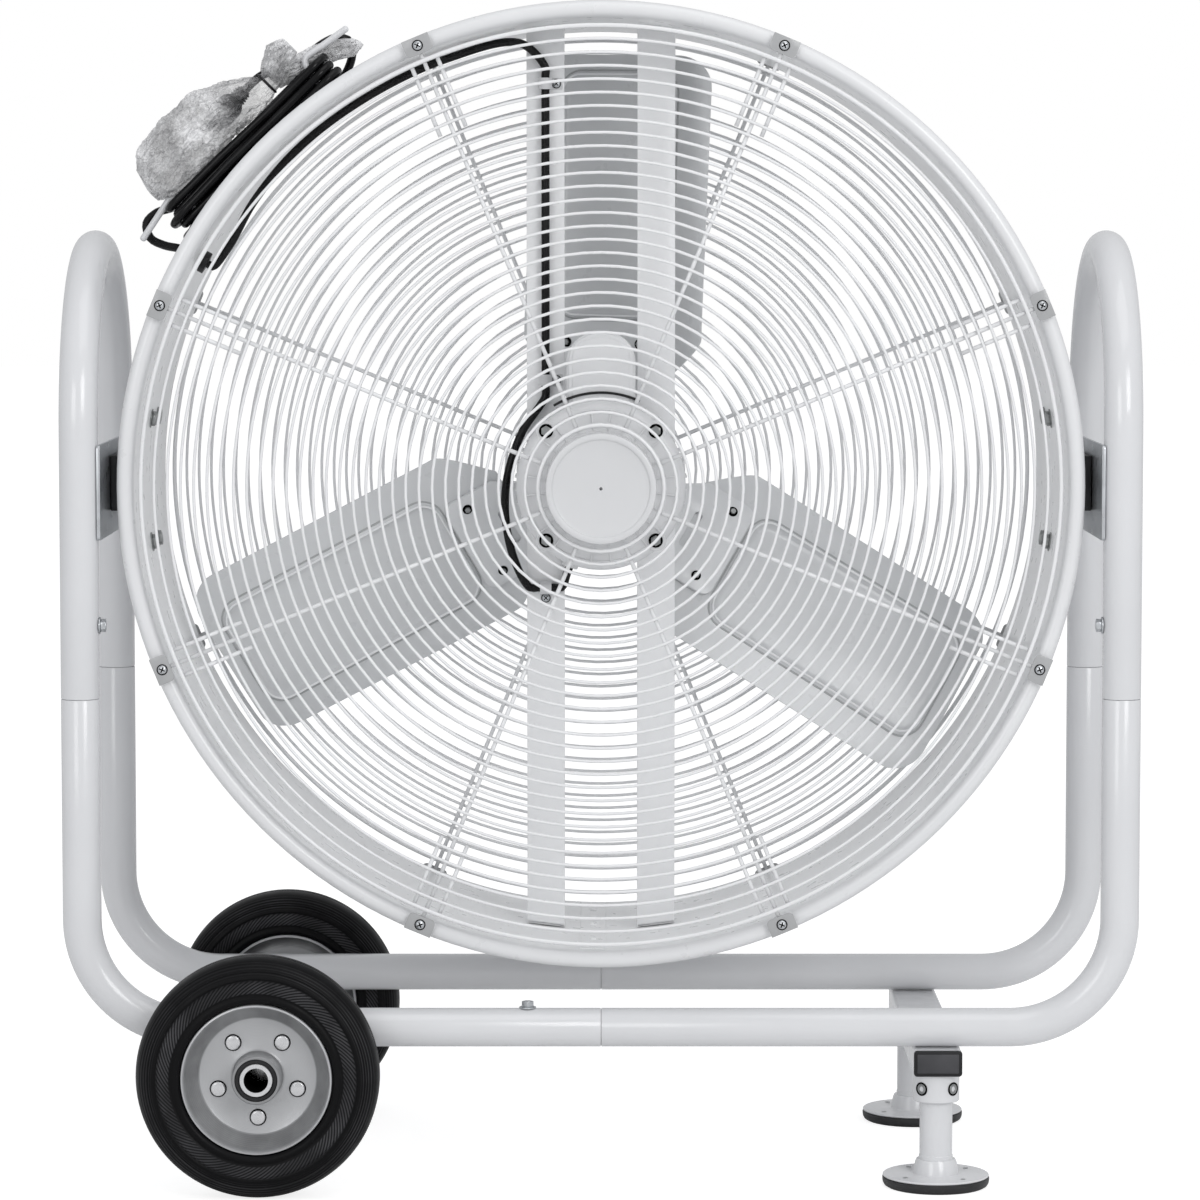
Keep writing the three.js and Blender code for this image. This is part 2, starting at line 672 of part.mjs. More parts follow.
// The front grille, about the drum's axis: rings on radial wires, held on the drum's edge by eight clips.
function grille(withShortWires, mostSides) {
  const wires = [];
  for (let i = 0; i < grilleRings; i++) {
    const edge = i === 0 || i === grilleRings - 1;
    wires.push(grilleRing(grilleInner + grillePitch * i, edge ? edgeWire + 0.6 : ringWire, ringY, mostSides));
  }
  for (let k = 0; k < spokes; k++) {
    const angle = Math.PI / spokes + (2 * Math.PI * k) / spokes;
    const lift = k === 0 ? 0 : spokeLift; // one spoke is welded to every ring, the others to the first and last
    const wire = [
      rod(V(spokeStart, -spokeY + lift, 0), V(beadCentre, -spokeY + lift, 0), spokeWire, 4),
    ];
    for (const side of withShortWires ? [-shortSpokeSpread, shortSpokeSpread] : []) {
      const y = -spokeY + spokeLift;
      wire.push(rod(V(grilleOuter - shortSpokeLength, y, side), V(grilleOuter + 2, y, side), spokeWire, 4));
    }
    const clip = box(
      beadCentre - clipDepth / 2, beadCentre + clipDepth / 2,
      -spokeY - spokeWire - clipThickness, -spokeY - spokeWire + 0.6, -clipWidth / 2, clipWidth / 2,
    );
    wire.push(clip);
    wires.push(join(...wire).rotateY(-angle));
  }
  return join(...wires);
}

addPiece("drum", "front_grille", grille(true, 16).translate(0, 0, pivotZ), white());
addPiece("drum", "rear_grille", mirrorY(grille(false, 12)).translate(0, 0, pivotZ), white());

// ---- Struts across the drum, with the clips that hold the cable ----
const strutBack = strutY + strutDepth;
const cableY = strutY - clipBand - cableRadius - fitGap; // the cable's middle in front of a strut
const wallFit = rod(V(0, -drumDepth, 0), V(0, drumDepth, 0), drumRadius - fitGap, drumSides);

function strut(x) {
  const half = strutWidth / 2;
  const channel = cut(
    box(x - half, x + half, strutY, strutBack, -drumRadius, drumRadius),
    box(x - half + strutWall, x + half - strutWall, strutY + strutWall, strutBack + past, -600, 600),
  );
  const feet = [-1, 1].map((way) => {
    const edge = Math.sqrt(drumRadius ** 2 - (Math.abs(x) + half) ** 2) * way;
    const [low, high] = [edge, drumRadius * way].sort((a, b) => a - b);
    return box(x - half, x + half, strutY, strutY + strutFoot, low - (way > 0 ? 3 : 0), high + (way > 0 ? 0 : 3));
  });
  return common(join(channel, ...feet), wallFit);
}

// A band round the cable, its axis along the given way, on a tab that lies on the strut.
function cableClip(at, along) {
  const step = along.clone().multiplyScalar(clipHalf);
  const bore = cableRadius + 2 * fitGap;
  const band = rod(at.clone().sub(step), at.clone().add(step), bore + clipBand, 8);
  const hole = rod(at.clone().addScaledVector(step, -2), at.clone().addScaledVector(step, 2), bore, 8);
  const upright = along.z !== 0;
  const aside = upright ? V(1, 0, 0) : V(0, 0, -1);
  const middle = at.clone().addScaledVector(aside, clipTab * 0.3);
  const tab = new THREE.BoxGeometry(upright ? clipTab : 2 * clipHalf, clipBand, upright ? 2 * clipHalf : clipTab);
  tab.translate(middle.x, strutY - clipBand / 2 + 0.2, middle.z);
  const screw = at.clone().addScaledVector(aside, clipTab * 0.4).setY(strutY + 0.5);
  const head = rod(screw, screw.clone().setY(strutY - clipBand - clipScrewHead), clipScrew, 8);
  return cut(join(band, tab, head), hole);
}

// ---- Cable from the gland to the motor ----
const clipSpots = [
  [V(-strutX, cableY, drumRadius - 63), V(0, 0, 1)],
  [V(-strutX, cableY, motorRadius + 18), V(0, 0, 1)],
  [V(-strutX, cableY, -motorRadius - 26), V(1, 0, 0)],
];
const entryAngle = THREE.MathUtils.degToRad(-110); // of the cable's inlet under the motor
const entryReach = motorRadius + 10;
const entryOut = V(Math.cos(entryAngle), 0, Math.sin(entryAngle));
const atEntry = (reach) => entryOut.clone().multiplyScalar(reach).setY(cableY);

// The cable's middle beside the drum's wall.
function wallPoint(degrees, y, inset = cableRadius + 3) {
  const angle = THREE.MathUtils.degToRad(degrees);
  const radius = drumRadius - inset;
  return V(radius * Math.cos(angle), y, radius * Math.sin(angle));
}

// The cable lies straight through each clip.
function throughClip([at, along], way) {
  return [-2, -1, 1, 2].map((step) => at.clone().addScaledVector(along, way * step * clipHalf * 1.4));
}

const cablePoints = [
  onGlandLine(wallFaceRadius - glandNut - fitGap),
  onGlandLine(wallFaceRadius - glandNut - 6),
  wallPoint(147.5, cordLineY, 19),
  wallPoint(141, cordLineY + 1, 13),
  wallPoint(132, -60),
  wallPoint(121, -52),
  wallPoint(110, -44),
  wallPoint(100.5, -39, 13),
  ...throughClip(clipSpots[0], -1),
  V(-strutX, cableY, (drumRadius + motorRadius) / 2 - 22),
  ...throughClip(clipSpots[1], -1),
  V(-motorRadius + 4, cableY - 6, 50),
  V(-motorRadius - 13, cableY - 8, -10),
  V(-motorRadius - 7, cableY - 5, -74),
  ...throughClip(clipSpots[2], 1),
  atEntry(entryReach + 8),
  atEntry(entryReach + fitGap),
];

// Stations along a smooth curve through the points, which are all stations themselves.
function smooth(points, step) {
  const curve = new THREE.CatmullRomCurve3(points, false, "centripetal");
  const stations = [points[0].clone()];
  for (let i = 0; i + 1 < points.length; i++) {
    const count = Math.max(1, Math.round(points[i].distanceTo(points[i + 1]) / step));
    for (let k = 1; k <= count; k++) stations.push(curve.getPoint((i + k / count) / (points.length - 1)));
  }
  return stations;
}

const cableLine = smooth(cablePoints, 6 * cableRadius);
addPiece("drum", "motor_cable", sweep(cableLine, cableRadius, 6).translate(0, 0, pivotZ), black());

const leftStrut = join(strut(-strutX), ...clipSpots.map(([at, along]) => cableClip(at, along)));
addPiece("drum", "strut_left", leftStrut.translate(0, 0, pivotZ), white());
addPiece("drum", "strut_right", strut(strutX).translate(0, 0, pivotZ), white());

// ---- Motor ----
const motorBack = strutY - fitGap;
const motorFront = motorBack - motorLength;
const motorSides = 24;

function motor() {
  const body = turned([
    [0, motorFront + 6], [capRadius - 8, motorFront + 6], [capRadius - 8, motorFront],
    [motorRadius - 8, motorFront], [motorRadius, motorFront + 8], [motorRadius, motorBack - 12],
    [motorRadius - 6, motorBack - 6], [30, motorBack], [0, motorBack],
  ], motorSides);
  const parts = [body];
  for (let i = 0; i < motorRibs; i++) {
    const rib = box(capRadius - 2, motorRadius - 9, motorFront - 3, motorFront + 2, -1.5, 1.5);
    parts.push(rib.rotateY((2 * Math.PI * (i + 0.5)) / motorRibs));
  }
  for (const x of [-motorScrewSquare, motorScrewSquare]) {
    for (const z of [-motorScrewSquare, motorScrewSquare]) {
      parts.push(rod(V(x, motorFront + 1, z), V(x, motorBack, z), motorLug, 6));
      parts.push(rod(V(x, motorFront - 4, z), V(x, motorFront + 4, z), 5.5, 6));
    }
  }
  parts.push(rod(atEntry(entryReach), atEntry(motorRadius - 8), cableRadius + 3, 10));
  const bore = rod(V(0, motorBack - 40, 0), V(0, motorBack + past, 0), shaftRadius + slideGap, 16);
  return cut(join(...parts), bore).translate(0, 0, pivotZ);
}
addPiece("drum", "motor", motor(), paint(0xcfd2d6, 0.45));

function motorCap() {
  const back = motorFront - fitGap;
  const front = motorFront - capReach;
  return turned([
    [0, back], [capRadius - 4, back], [capRadius - 4, front + 14], [capRadius, front + 10],
    [capRadius - 1, front], [capRadius - 12, front], [capRadius - 15, front + 3], [0, front + 3],
  ].reverse(), motorSides).translate(0, 0, pivotZ);
}
addPiece("drum", "motor_cap", motorCap(), paint(0xdcdee1, 0.45));

function capacitorBox() {
  const half = boxWidth / 2;
  const shape = new THREE.Shape();
  const low = motorRadius * 0.7;
  shape.moveTo(-half, low);
  shape.lineTo(half, low);
  shape.absellipse(0, low + boxRise - half + boxCrown, half, boxCrown, 0, Math.PI, false);
  shape.lineTo(-half, low);
  const middle = (motorFront + motorBack) / 2;
  const body = plateXZ(shape, middle - boxDepth / 2, middle + boxDepth / 2, 6);
  const seatRadius = motorRadius + fitGap / Math.cos(Math.PI / motorSides);
  const seat = rod(V(0, motorFront - past, 0), V(0, motorBack + past, 0), seatRadius, motorSides);
  return cut(body, seat).translate(0, 0, pivotZ);
}
addPiece("drum", "capacitor_box", capacitorBox(), paint(0xdadce0, 0.45));

// ---- Rotor ----
function motorShaft() {
  return rod(V(0, motorBack - 38, pivotZ), V(0, hubY + shaftReach, pivotZ), shaftRadius, 12);
}
addPiece("rotor", "motor_shaft", motorShaft(), steel());

function spider() {
  const parts = [rod(V(0, hubY - spiderHubLength / 2, 0), V(0, hubY + spiderHubLength / 2, 0), spiderHub, 16)];
  for (let k = 0; k < bladeCount; k++) {
    const outline = new THREE.Shape();
    outline.moveTo(armRoot - armCorner, -armRootHalf);
    outline.lineTo(armNeck, -armNeckHalf);
    outline.lineTo(armEnd - armShoulder, -armHalfWidth);
    outline.absarc(armEnd - armCorner, -armHalfWidth + armCorner, armCorner, -Math.PI / 2, 0, false);
    outline.absarc(armEnd - armCorner, armHalfWidth - armCorner, armCorner, 0, Math.PI / 2, false);
    outline.lineTo(armEnd - armShoulder, armHalfWidth);
    outline.lineTo(armNeck, armNeckHalf);
    outline.lineTo(armRoot - armCorner, armRootHalf);
    const slot = new THREE.Path();
    const slotEnd = (armSlotLength - armSlotWidth) / 2;
    slot.absarc(armSlotReach, slotEnd, armSlotWidth / 2, 0, Math.PI, false);
    slot.absarc(armSlotReach, -slotEnd, armSlotWidth / 2, Math.PI, 2 * Math.PI, false);
    outline.holes.push(slot);
    const arm = plateXZ(outline, -armThickness / 2, armThickness / 2, 2);
    const pieces = [arm];
    for (const t of [-bladeRivetSpread, bladeRivetSpread]) {
      pieces.push(rod(V(bladeRivetReach, 0, t), V(bladeRivetReach, -armThickness / 2 - 3, t), bladeRivetRadius, 6));
    }
    const pitched = join(...pieces).rotateX(-bladePitch).translate(0, hubY, 0);
    parts.push(pitched.rotateY(-(bladeTurn + (2 * Math.PI * k) / bladeCount)));
  }
  const bore = rod(V(0, hubY - spiderHubLength, 0), V(0, hubY + spiderHubLength, 0), shaftRadius + fitGap, 12);
  return cut(join(...parts), bore).translate(0, 0, pivotZ);
}
addPiece("rotor", "hub_spider", spider(), paint(0xb9bcc1, 0.4, 0.3));

// One blade as a sheet between two grids of points, with rounded corners and a curved section.
function blade() {
  const reach = bladeTip - bladeRoot;
  const cornerShares = [0, 0.15, 0.5];
  const rows = [
    ...cornerShares.map((s) => bladeRoot + bladeCorner * s),
    bladeRoot + bladeCorner, bladeRoot + reach / 2, bladeTip - bladeCorner,
    ...cornerShares.map((s) => bladeTip - bladeCorner * s).reverse(),
  ];
  const across = 5;
  const stretch = 1 / Math.cos(bladePitch);
  const front = [];
  const back = [];
  for (const r of rows) {
    const inset = Math.max(bladeCorner - Math.min(r - bladeRoot, bladeTip - r), 0);
    const round = bladeCorner - Math.sqrt(bladeCorner ** 2 - inset ** 2);
    const low = -bladeTrail + round;
    const high = bladeLead - round;
    for (let j = 0; j < across; j++) {
      const t = low + ((high - low) * j) / (across - 1);
      const flat = (2 * t - bladeLead + bladeTrail) / (bladeLead + bladeTrail);
      const lift = bladeCamber * (flat ** 2) * ((r - armEnd) / (bladeTip - armEnd));
      const y = armThickness / 2 + fitGap + (r > armEnd ? Math.max(lift, 0) : 0);
      front.push(r, y, t * stretch);
      back.push(r, y + bladeThickness, t * stretch);
    }
  }
  const geometry = new THREE.BufferGeometry();
  const count = front.length / 3;
  const index = [];
  const quad = (a, b, c, d) => index.push(a, b, c, a, c, d);
  for (let i = 0; i + 1 < rows.length; i++) {
    for (let j = 0; j + 1 < across; j++) {
      const [a, b] = [i * across + j, i * across + j + 1];
      quad(a, b, b + across, a + across);
      quad(count + a, count + a + across, count + b + across, count + b);
    }
  }
  const rim = [];
  for (let j = 0; j < across - 1; j++) rim.push(j);
  for (let i = 0; i < rows.length - 1; i++) rim.push(i * across + across - 1);
  for (let j = across - 1; j > 0; j--) rim.push((rows.length - 1) * across + j);
  for (let i = rows.length - 1; i > 0; i--) rim.push(i * across);
  rim.forEach((a, i) => {
    const b = rim[(i + 1) % rim.length];
    quad(b, a, count + a, count + b);
  });
  geometry.setAttribute("position", new THREE.Float32BufferAttribute([...front, ...back], 3));
  geometry.setIndex(index);
  return geometry.rotateX(-bladePitch).translate(0, hubY, 0);
}

for (let k = 0; k < bladeCount; k++) {
  const turn = bladeTurn + (2 * Math.PI * k) / bladeCount;
  addPiece("rotor", `blade_${k + 1}`, aroundDrum(blade(), turn), white());
}

// ---- Gland, hooks, cord ----
function gland() {
  const parts = [
    rod(onGlandLine(wallFaceRadius - glandNut), onGlandLine(wallFaceRadius - fitGap), glandRadius + 1, 6),
    rod(onGlandLine(wallFaceRadius - 1), onGlandLine(drumOuter + 3), glandNeck, 12),
    rod(onGlandLine(drumOuter + fitGap), onGlandLine(drumOuter + 8), glandRadius, 12),
    rod(onGlandLine(drumOuter + 7), onGlandLine(drumOuter + glandReach), glandRadius - 1, 12, cordRadius + 1.5),
  ];
  return join(...parts).translate(0, 0, pivotZ);
}
addPiece("drum", "cord_gland", gland(), black());

// The drum's outside with the clearance of what stands on it.
const wallSeatRadius = drumOuter + fitGap / Math.cos(Math.PI / drumSides);
const wallSeat = rod(V(0, -drumDepth, 0), V(0, drumDepth, 0), wallSeatRadius, drumSides);

// A hook is a stem square to the drum and an arm along it, bent away from the other hook.
function hook(angle, way) {
  const out = V(Math.cos(angle), 0, Math.sin(angle));
  const across = V(Math.sin(angle), 0, -Math.cos(angle)).multiplyScalar(way);
  const at = (r, t) => out.clone().multiplyScalar(r).addScaledVector(across, t).setY(cordLineY);
  const line = [at(drumOuter - 2, 0), at(hookReach - hookBend, 0)];
  for (let i = 1; i <= 3; i++) {
    const a = ((Math.PI / 2) * i) / 3;
    line.push(at(hookReach - hookBend + hookBend * Math.sin(a), hookBend - hookBend * Math.cos(a)));
  }
  line.push(at(hookReach, hookArm));
  const foot = rod(at(drumOuter - 4, 0), at(drumOuter + 3, 0), hookFoot, 10);
  return cut(join(sweep(line, hookRadius, 8), foot), wallSeat).translate(0, 0, pivotZ);
}
addPiece("drum", "cord_hook_upper", hook(hookAngles[0], 1), lightGrey());
addPiece("drum", "cord_hook_lower", hook(hookAngles[1], -1), lightGrey());

// The hank lies in a plane square to the drum between the hooks: a towards the upper hook, b along Y, c outwards.
const hankAngle = (hookAngles[0] + hookAngles[1]) / 2;
const hankAcross = V(Math.sin(hankAngle), 0, -Math.cos(hankAngle));
const hankOut = V(Math.cos(hankAngle), 0, Math.sin(hankAngle));
const onHank = (a, b, c) => hankOut.clone().multiplyScalar(c).addScaledVector(hankAcross, a).setY(cordLineY + b);
const stemSpan = hookReach * Math.sin((hookAngles[1] - hookAngles[0]) / 2);
const hankHalf = stemSpan - 1; // centres of the round ends
const hankInner = hookRadius + cordRadius + 1; // half the width of the innermost loop
const hankBase = drumOuter + cordRadius + 1;
const turnsPerLayer = hankTurns / hankLayers;

// Where the cord is after s turns, starting on the outermost layer.
function hankPoint(s) {
  const layer = Math.min(Math.floor(s / turnsPerLayer), hankLayers - 1);
  const within = s - layer * turnsPerLayer;
  const inwards = layer % 2 === 0;
  const steps = inwards ? turnsPerLayer - within : within;
  const half = hankInner + hankStep * steps;
  const climbs = [...Array(hankLayers - 1).keys()].map((k) => (k + 1) * turnsPerLayer);
  const fallen = climbs.reduce((sum, at) => sum + THREE.MathUtils.clamp((s - at) / 0.5 + 0.5, 0, 1), 0);
  const c = hankBase + hankStep * (hankLayers - 1 - fallen);
  const share = s - Math.floor(s);
  const run = 0.34;
  if (share < run) return onHank(-hankHalf + (2 * hankHalf * share) / run, half, c);
  if (share < 0.5) {
    const turn = Math.PI / 2 - (Math.PI * (share - run)) / (0.5 - run);
    return onHank(hankHalf + half * Math.cos(turn), half * Math.sin(turn), c);
  }
  if (share < 0.5 + run) return onHank(hankHalf - (2 * hankHalf * (share - 0.5)) / run, -half, c);
  const turn = -Math.PI / 2 - (Math.PI * (share - 0.5 - run)) / (0.5 - run);
  return onHank(-hankHalf + half * Math.cos(turn), half * Math.sin(turn), c);
}

const loopShares = [0, 0.34, 0.367, 0.393, 0.42, 0.447, 0.473];
const hankLine = [];
for (let n = 0; n < hankTurns; n++) {
  for (const half of [0, 0.5]) {
    for (const share of loopShares) hankLine.push(hankPoint(n + half + share));
  }
}
hankLine.push(hankPoint(hankTurns - 1e-6));

// The least gap between strands, on points along the cord that are far apart along it.
function leastGap(points, radius) {
  let least = Infinity;
  const dense = new Stations(points);
  const fine = [];
  for (let i = 0; i + 1 < dense.points.length; i++) {
    for (const t of [0, 0.25, 0.5, 0.75]) fine.push(dense.points[i].clone().lerp(dense.points[i + 1], t));
  }
  const run = [0];
  for (let i = 1; i < fine.length; i++) run.push(run[i - 1] + fine[i].distanceTo(fine[i - 1]));
  for (let i = 0; i < fine.length; i++) {
    for (let j = i + 1; j < fine.length; j++) {
      if (run[j] - run[i] > 8 * radius) least = Math.min(least, fine[i].distanceTo(fine[j]));
    }
  }
  return least - 2 * radius;
}
console.log(`cord_hank: least gap to itself ${leastGap(hankLine, cordRadius).toFixed(2)} mm`);
addPiece("drum", "cord_hank", sweep(hankLine, cordRadius, 6).translate(0, 0, pivotZ), black());

// The end of a line carried on past its last point by a length.
function ahead(points, length) {
  const [before, last] = points.slice(-2);
  return last.clone().add(last.clone().sub(before).setLength(length));
}

// A point beyond a hook's stem, off the drum by a rise.
const pastHook = (way, reach, b, rise) => onHank(way * (stemSpan + reach), b, drumOuter + rise);
const leadPoints = [
  onGlandLine(drumOuter + glandReach + fitGap),
  onGlandLine(drumOuter + glandReach + 6),
  pastHook(-1, 52, 10, 19.5),
  pastHook(-1, 61, 16, 38.5),
  pastHook(-1, 50, 20, 54.5),
  pastHook(-1, 28, 22.5, 49.5),
  ahead([hankLine[1], hankLine[0]], 12),
  ahead([hankLine[1], hankLine[0]], fitGap),
];
const leadLine = smooth(leadPoints, 3 * cordRadius);
addPiece("drum", "cord_lead", sweep(leadLine, cordRadius, 8).translate(0, 0, pivotZ), black());

// The far end runs along the hank, turns back past the upper hook and ends in the wrapped plug.
const plugA = 34; // the plug's cord end, on the hank's own axes
const plugC = hookReach + 12;
const tailPoints = [
  ahead(hankLine, fitGap),
  ahead(hankLine, 12),
  onHank(-40, 27, hankBase),
  onHank(30, 32, hankBase),
  pastHook(1, -3, 35, cordRadius + 1),
  pastHook(1, 28, 33, cordRadius + 9),
  pastHook(1, 44, 25, 34.5),
  pastHook(1, 43, 12, hookStand),
  pastHook(1, 26, 2, hookStand + 14),
  onHank(plugA + 66, 0, plugC + 3),
  onHank(plugA + 32, 0, plugC),
  onHank(plugA + 10, 0, plugC),
  onHank(plugA + fitGap, 0, plugC),
];
const tailLine = smooth(tailPoints, 6 * cordRadius);
addPiece("drum", "cord_tail", sweep(tailLine, cordRadius, 8).translate(0, 0, pivotZ), black());

// Turned pieces are drawn about +Y; on the hank's axes that way points towards the lower hook.
function alongHank(geometry, a, c) {
  const frame = new THREE.Matrix4().makeBasis(hankOut, hankAcross.clone().negate(), V(0, 1, 0));
  return geometry.clone().applyMatrix4(frame).translate(...onHank(a, 0, c).toArray());
}

function plug(extra) {
  const body = turned([
    [0, -extra], [cordRadius + 2 + extra, -extra], [cordRadius + 4 + extra, 14], [plugRadius + extra, 24],
    [plugRadius + extra, plugLength + extra], [0, plugLength + extra],
  ], 10);
  const pins = [-plugPinSpread, plugPinSpread].map((z) =>
    box(-3.2 - extra, 3.2 + extra, plugLength - 1, plugLength + plugPinLength + extra, z - 0.8 - extra, z + 0.8 + extra),
  );
  pins.push(rod(V(-8.5, plugLength - 1, 0), V(-8.5, plugLength + plugPinLength + extra, 0), 2.4 + extra, 8));
  return alongHank(join(body, ...pins), plugA, plugC);
}
addPiece("drum", "cord_plug", plug(0).translate(0, 0, pivotZ), black());

// The padded wrap round the plug: a soft bag drawn in at its neck, with the cord coming in through it.
function plugWrap() {
  const profile = [
    [0, wrapEnd], [wrapMouth * 0.7, wrapEnd - 2], [wrapMouth, wrapMouthAt], [wrapNeck, wrapNeckAt],
  ];
  for (let i = 1; i < wrapSteps; i++) {
    const angle = (Math.PI * i) / wrapSteps;
    profile.push([wrapRadius * Math.sqrt(Math.sin(angle)), wrapMiddle + wrapHalf * Math.cos(angle)]);
  }
  profile.push([0, wrapMiddle - wrapHalf]);
  const wrapped = turned(profile.map(([r, a]) => [r, plugA - a]), 12).scale(1, 1, 1.1);
  const bag = alongHank(wrapped, plugA, plugC);
  const cord = tailLine.filter((point) => point.distanceTo(onHank(plugA, 0, plugC)) < 100);
  const mouth = sweep([...cord, onHank(plugA - 4, 0, plugC)], cordRadius + fitGap + 0.2, 8);
  return cut(bag, plug(1), mouth);
}
addPiece("drum", "plug_wrap", plugWrap().translate(0, 0, pivotZ), paint(0xb9bcbd, 0.5, 0));

export default fan;
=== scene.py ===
# Looks for a drum fan on a wheeled tube frame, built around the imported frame.
# Shapes are drawn in millimetres and scaled to metres when a piece is finished.
import math

import bmesh
import bpy
from mathutils import Matrix, Vector, noise


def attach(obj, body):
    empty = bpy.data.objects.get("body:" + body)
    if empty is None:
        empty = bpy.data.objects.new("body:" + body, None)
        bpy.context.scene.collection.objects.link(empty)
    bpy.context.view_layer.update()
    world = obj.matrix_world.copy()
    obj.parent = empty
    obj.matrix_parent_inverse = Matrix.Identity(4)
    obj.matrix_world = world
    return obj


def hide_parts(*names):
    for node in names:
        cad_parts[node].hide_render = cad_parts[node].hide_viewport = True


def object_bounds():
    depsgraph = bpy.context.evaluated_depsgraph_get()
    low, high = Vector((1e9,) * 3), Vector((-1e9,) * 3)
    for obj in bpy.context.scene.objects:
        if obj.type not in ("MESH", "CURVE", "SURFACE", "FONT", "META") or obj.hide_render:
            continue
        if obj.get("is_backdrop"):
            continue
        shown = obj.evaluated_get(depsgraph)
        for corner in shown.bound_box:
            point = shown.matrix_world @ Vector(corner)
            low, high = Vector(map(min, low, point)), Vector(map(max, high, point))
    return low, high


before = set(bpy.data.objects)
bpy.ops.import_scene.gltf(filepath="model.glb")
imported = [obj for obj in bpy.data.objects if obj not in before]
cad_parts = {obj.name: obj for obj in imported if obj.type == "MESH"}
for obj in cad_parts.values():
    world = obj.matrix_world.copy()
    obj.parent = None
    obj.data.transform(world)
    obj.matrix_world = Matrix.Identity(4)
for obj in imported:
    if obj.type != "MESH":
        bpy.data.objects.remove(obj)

scene = bpy.context.scene
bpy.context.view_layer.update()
MM = 0.001
TAU = 2 * math.pi
IDENTITY = Matrix.Identity(4)

# ---- Sizes shared with the frame, in millimetres ----
FIT = 0.3
TUBE_R = 20
POST_X = 537
TUBE_Y = 185
TUBE_Z = 166
BEND_R = 113
JOINT_Z = 508
ARCH_Z = 785
PIVOT_Z = 726
DRUM_R = 481
DRUM_WALL = 1.5
DRUM_OUT = DRUM_R + DRUM_WALL
DRUM_HALF = 188
BEAD_R = 8.75
BEAD_AT = DRUM_OUT + BEAD_R - DRUM_WALL
WHEEL_Y = 240
AXLE_X = -352
AXLE_Z = 125
FOOT_X = 348
HOOK_ANGLES = (math.radians(125.3), math.radians(146.1))
HOOK_REACH = 541
HANK_ANGLE = sum(HOOK_ANGLES) / 2
HANK_OUT = Vector((math.cos(HANK_ANGLE), 0, math.sin(HANK_ANGLE)))
HANK_ACROSS = Vector((math.sin(HANK_ANGLE), 0, -math.cos(HANK_ANGLE)))

# ---- Camera and lamps, in metres and watts ----
CAMERA_AT = (-0.001, -5.035, 0.986)
CAMERA_DIP = 4.43
LENS = 141.7
SENSOR = 36
LAMPS_AIM = (0, 0, 0.7)
LAMPS = (
    ("lamp_left", (-2.3, -4.8, 2.0), 2.0, 33),
    ("lamp_right", (2.5, -4.6, 2.6), 2.0, 66),
    ("lamp_top", (0.8, -1.4, 4.4), 3.0, 30),
)
ROOM_LIGHT = 0.61
FLOOR_HALF = 30


def linked(name, data):
    """An object in the scene that holds a mesh, a curve, a lamp or a lens."""
    made = bpy.data.objects.new(name, data)
    scene.collection.objects.link(made)
    return made


def add_camera():
    lens = bpy.data.cameras.new("camera")
    lens.sensor_width = SENSOR
    lens.lens = LENS
    camera = linked("camera", lens)
    camera.location = CAMERA_AT
    camera.rotation_euler = (math.radians(90 - CAMERA_DIP), 0, 0)
    scene.camera = camera


def add_lamp(name, place, size, watts):
    lamp = bpy.data.lights.new(name, "AREA")
    lamp.shape = "RECTANGLE"
    lamp.size = lamp.size_y = size
    lamp.energy = watts
    holder = linked(name, lamp)
    holder.location = place
    holder.rotation_euler = (Vector(LAMPS_AIM) - Vector(place)).to_track_quat("-Z", "Y").to_euler()


add_camera()
for lamp in LAMPS:
    add_lamp(*lamp)


# ---- Shader values as plain sums ----
class Value:
    """One output in a finish's nodes; sums on it add Math nodes."""

    def __init__(self, finish, socket):
        self.finish = finish
        self.socket = socket

    def __add__(self, other):
        return self.finish.maths_of("ADD", self, other)

    def __sub__(self, other):
        return self.finish.maths_of("SUBTRACT", self, other)

    def __rsub__(self, other):
        return self.finish.maths_of("SUBTRACT", other, self)

    def __mul__(self, other):
        return self.finish.maths_of("MULTIPLY", self, other)

    def __pow__(self, other):
        return self.finish.maths_of("POWER", self, other)


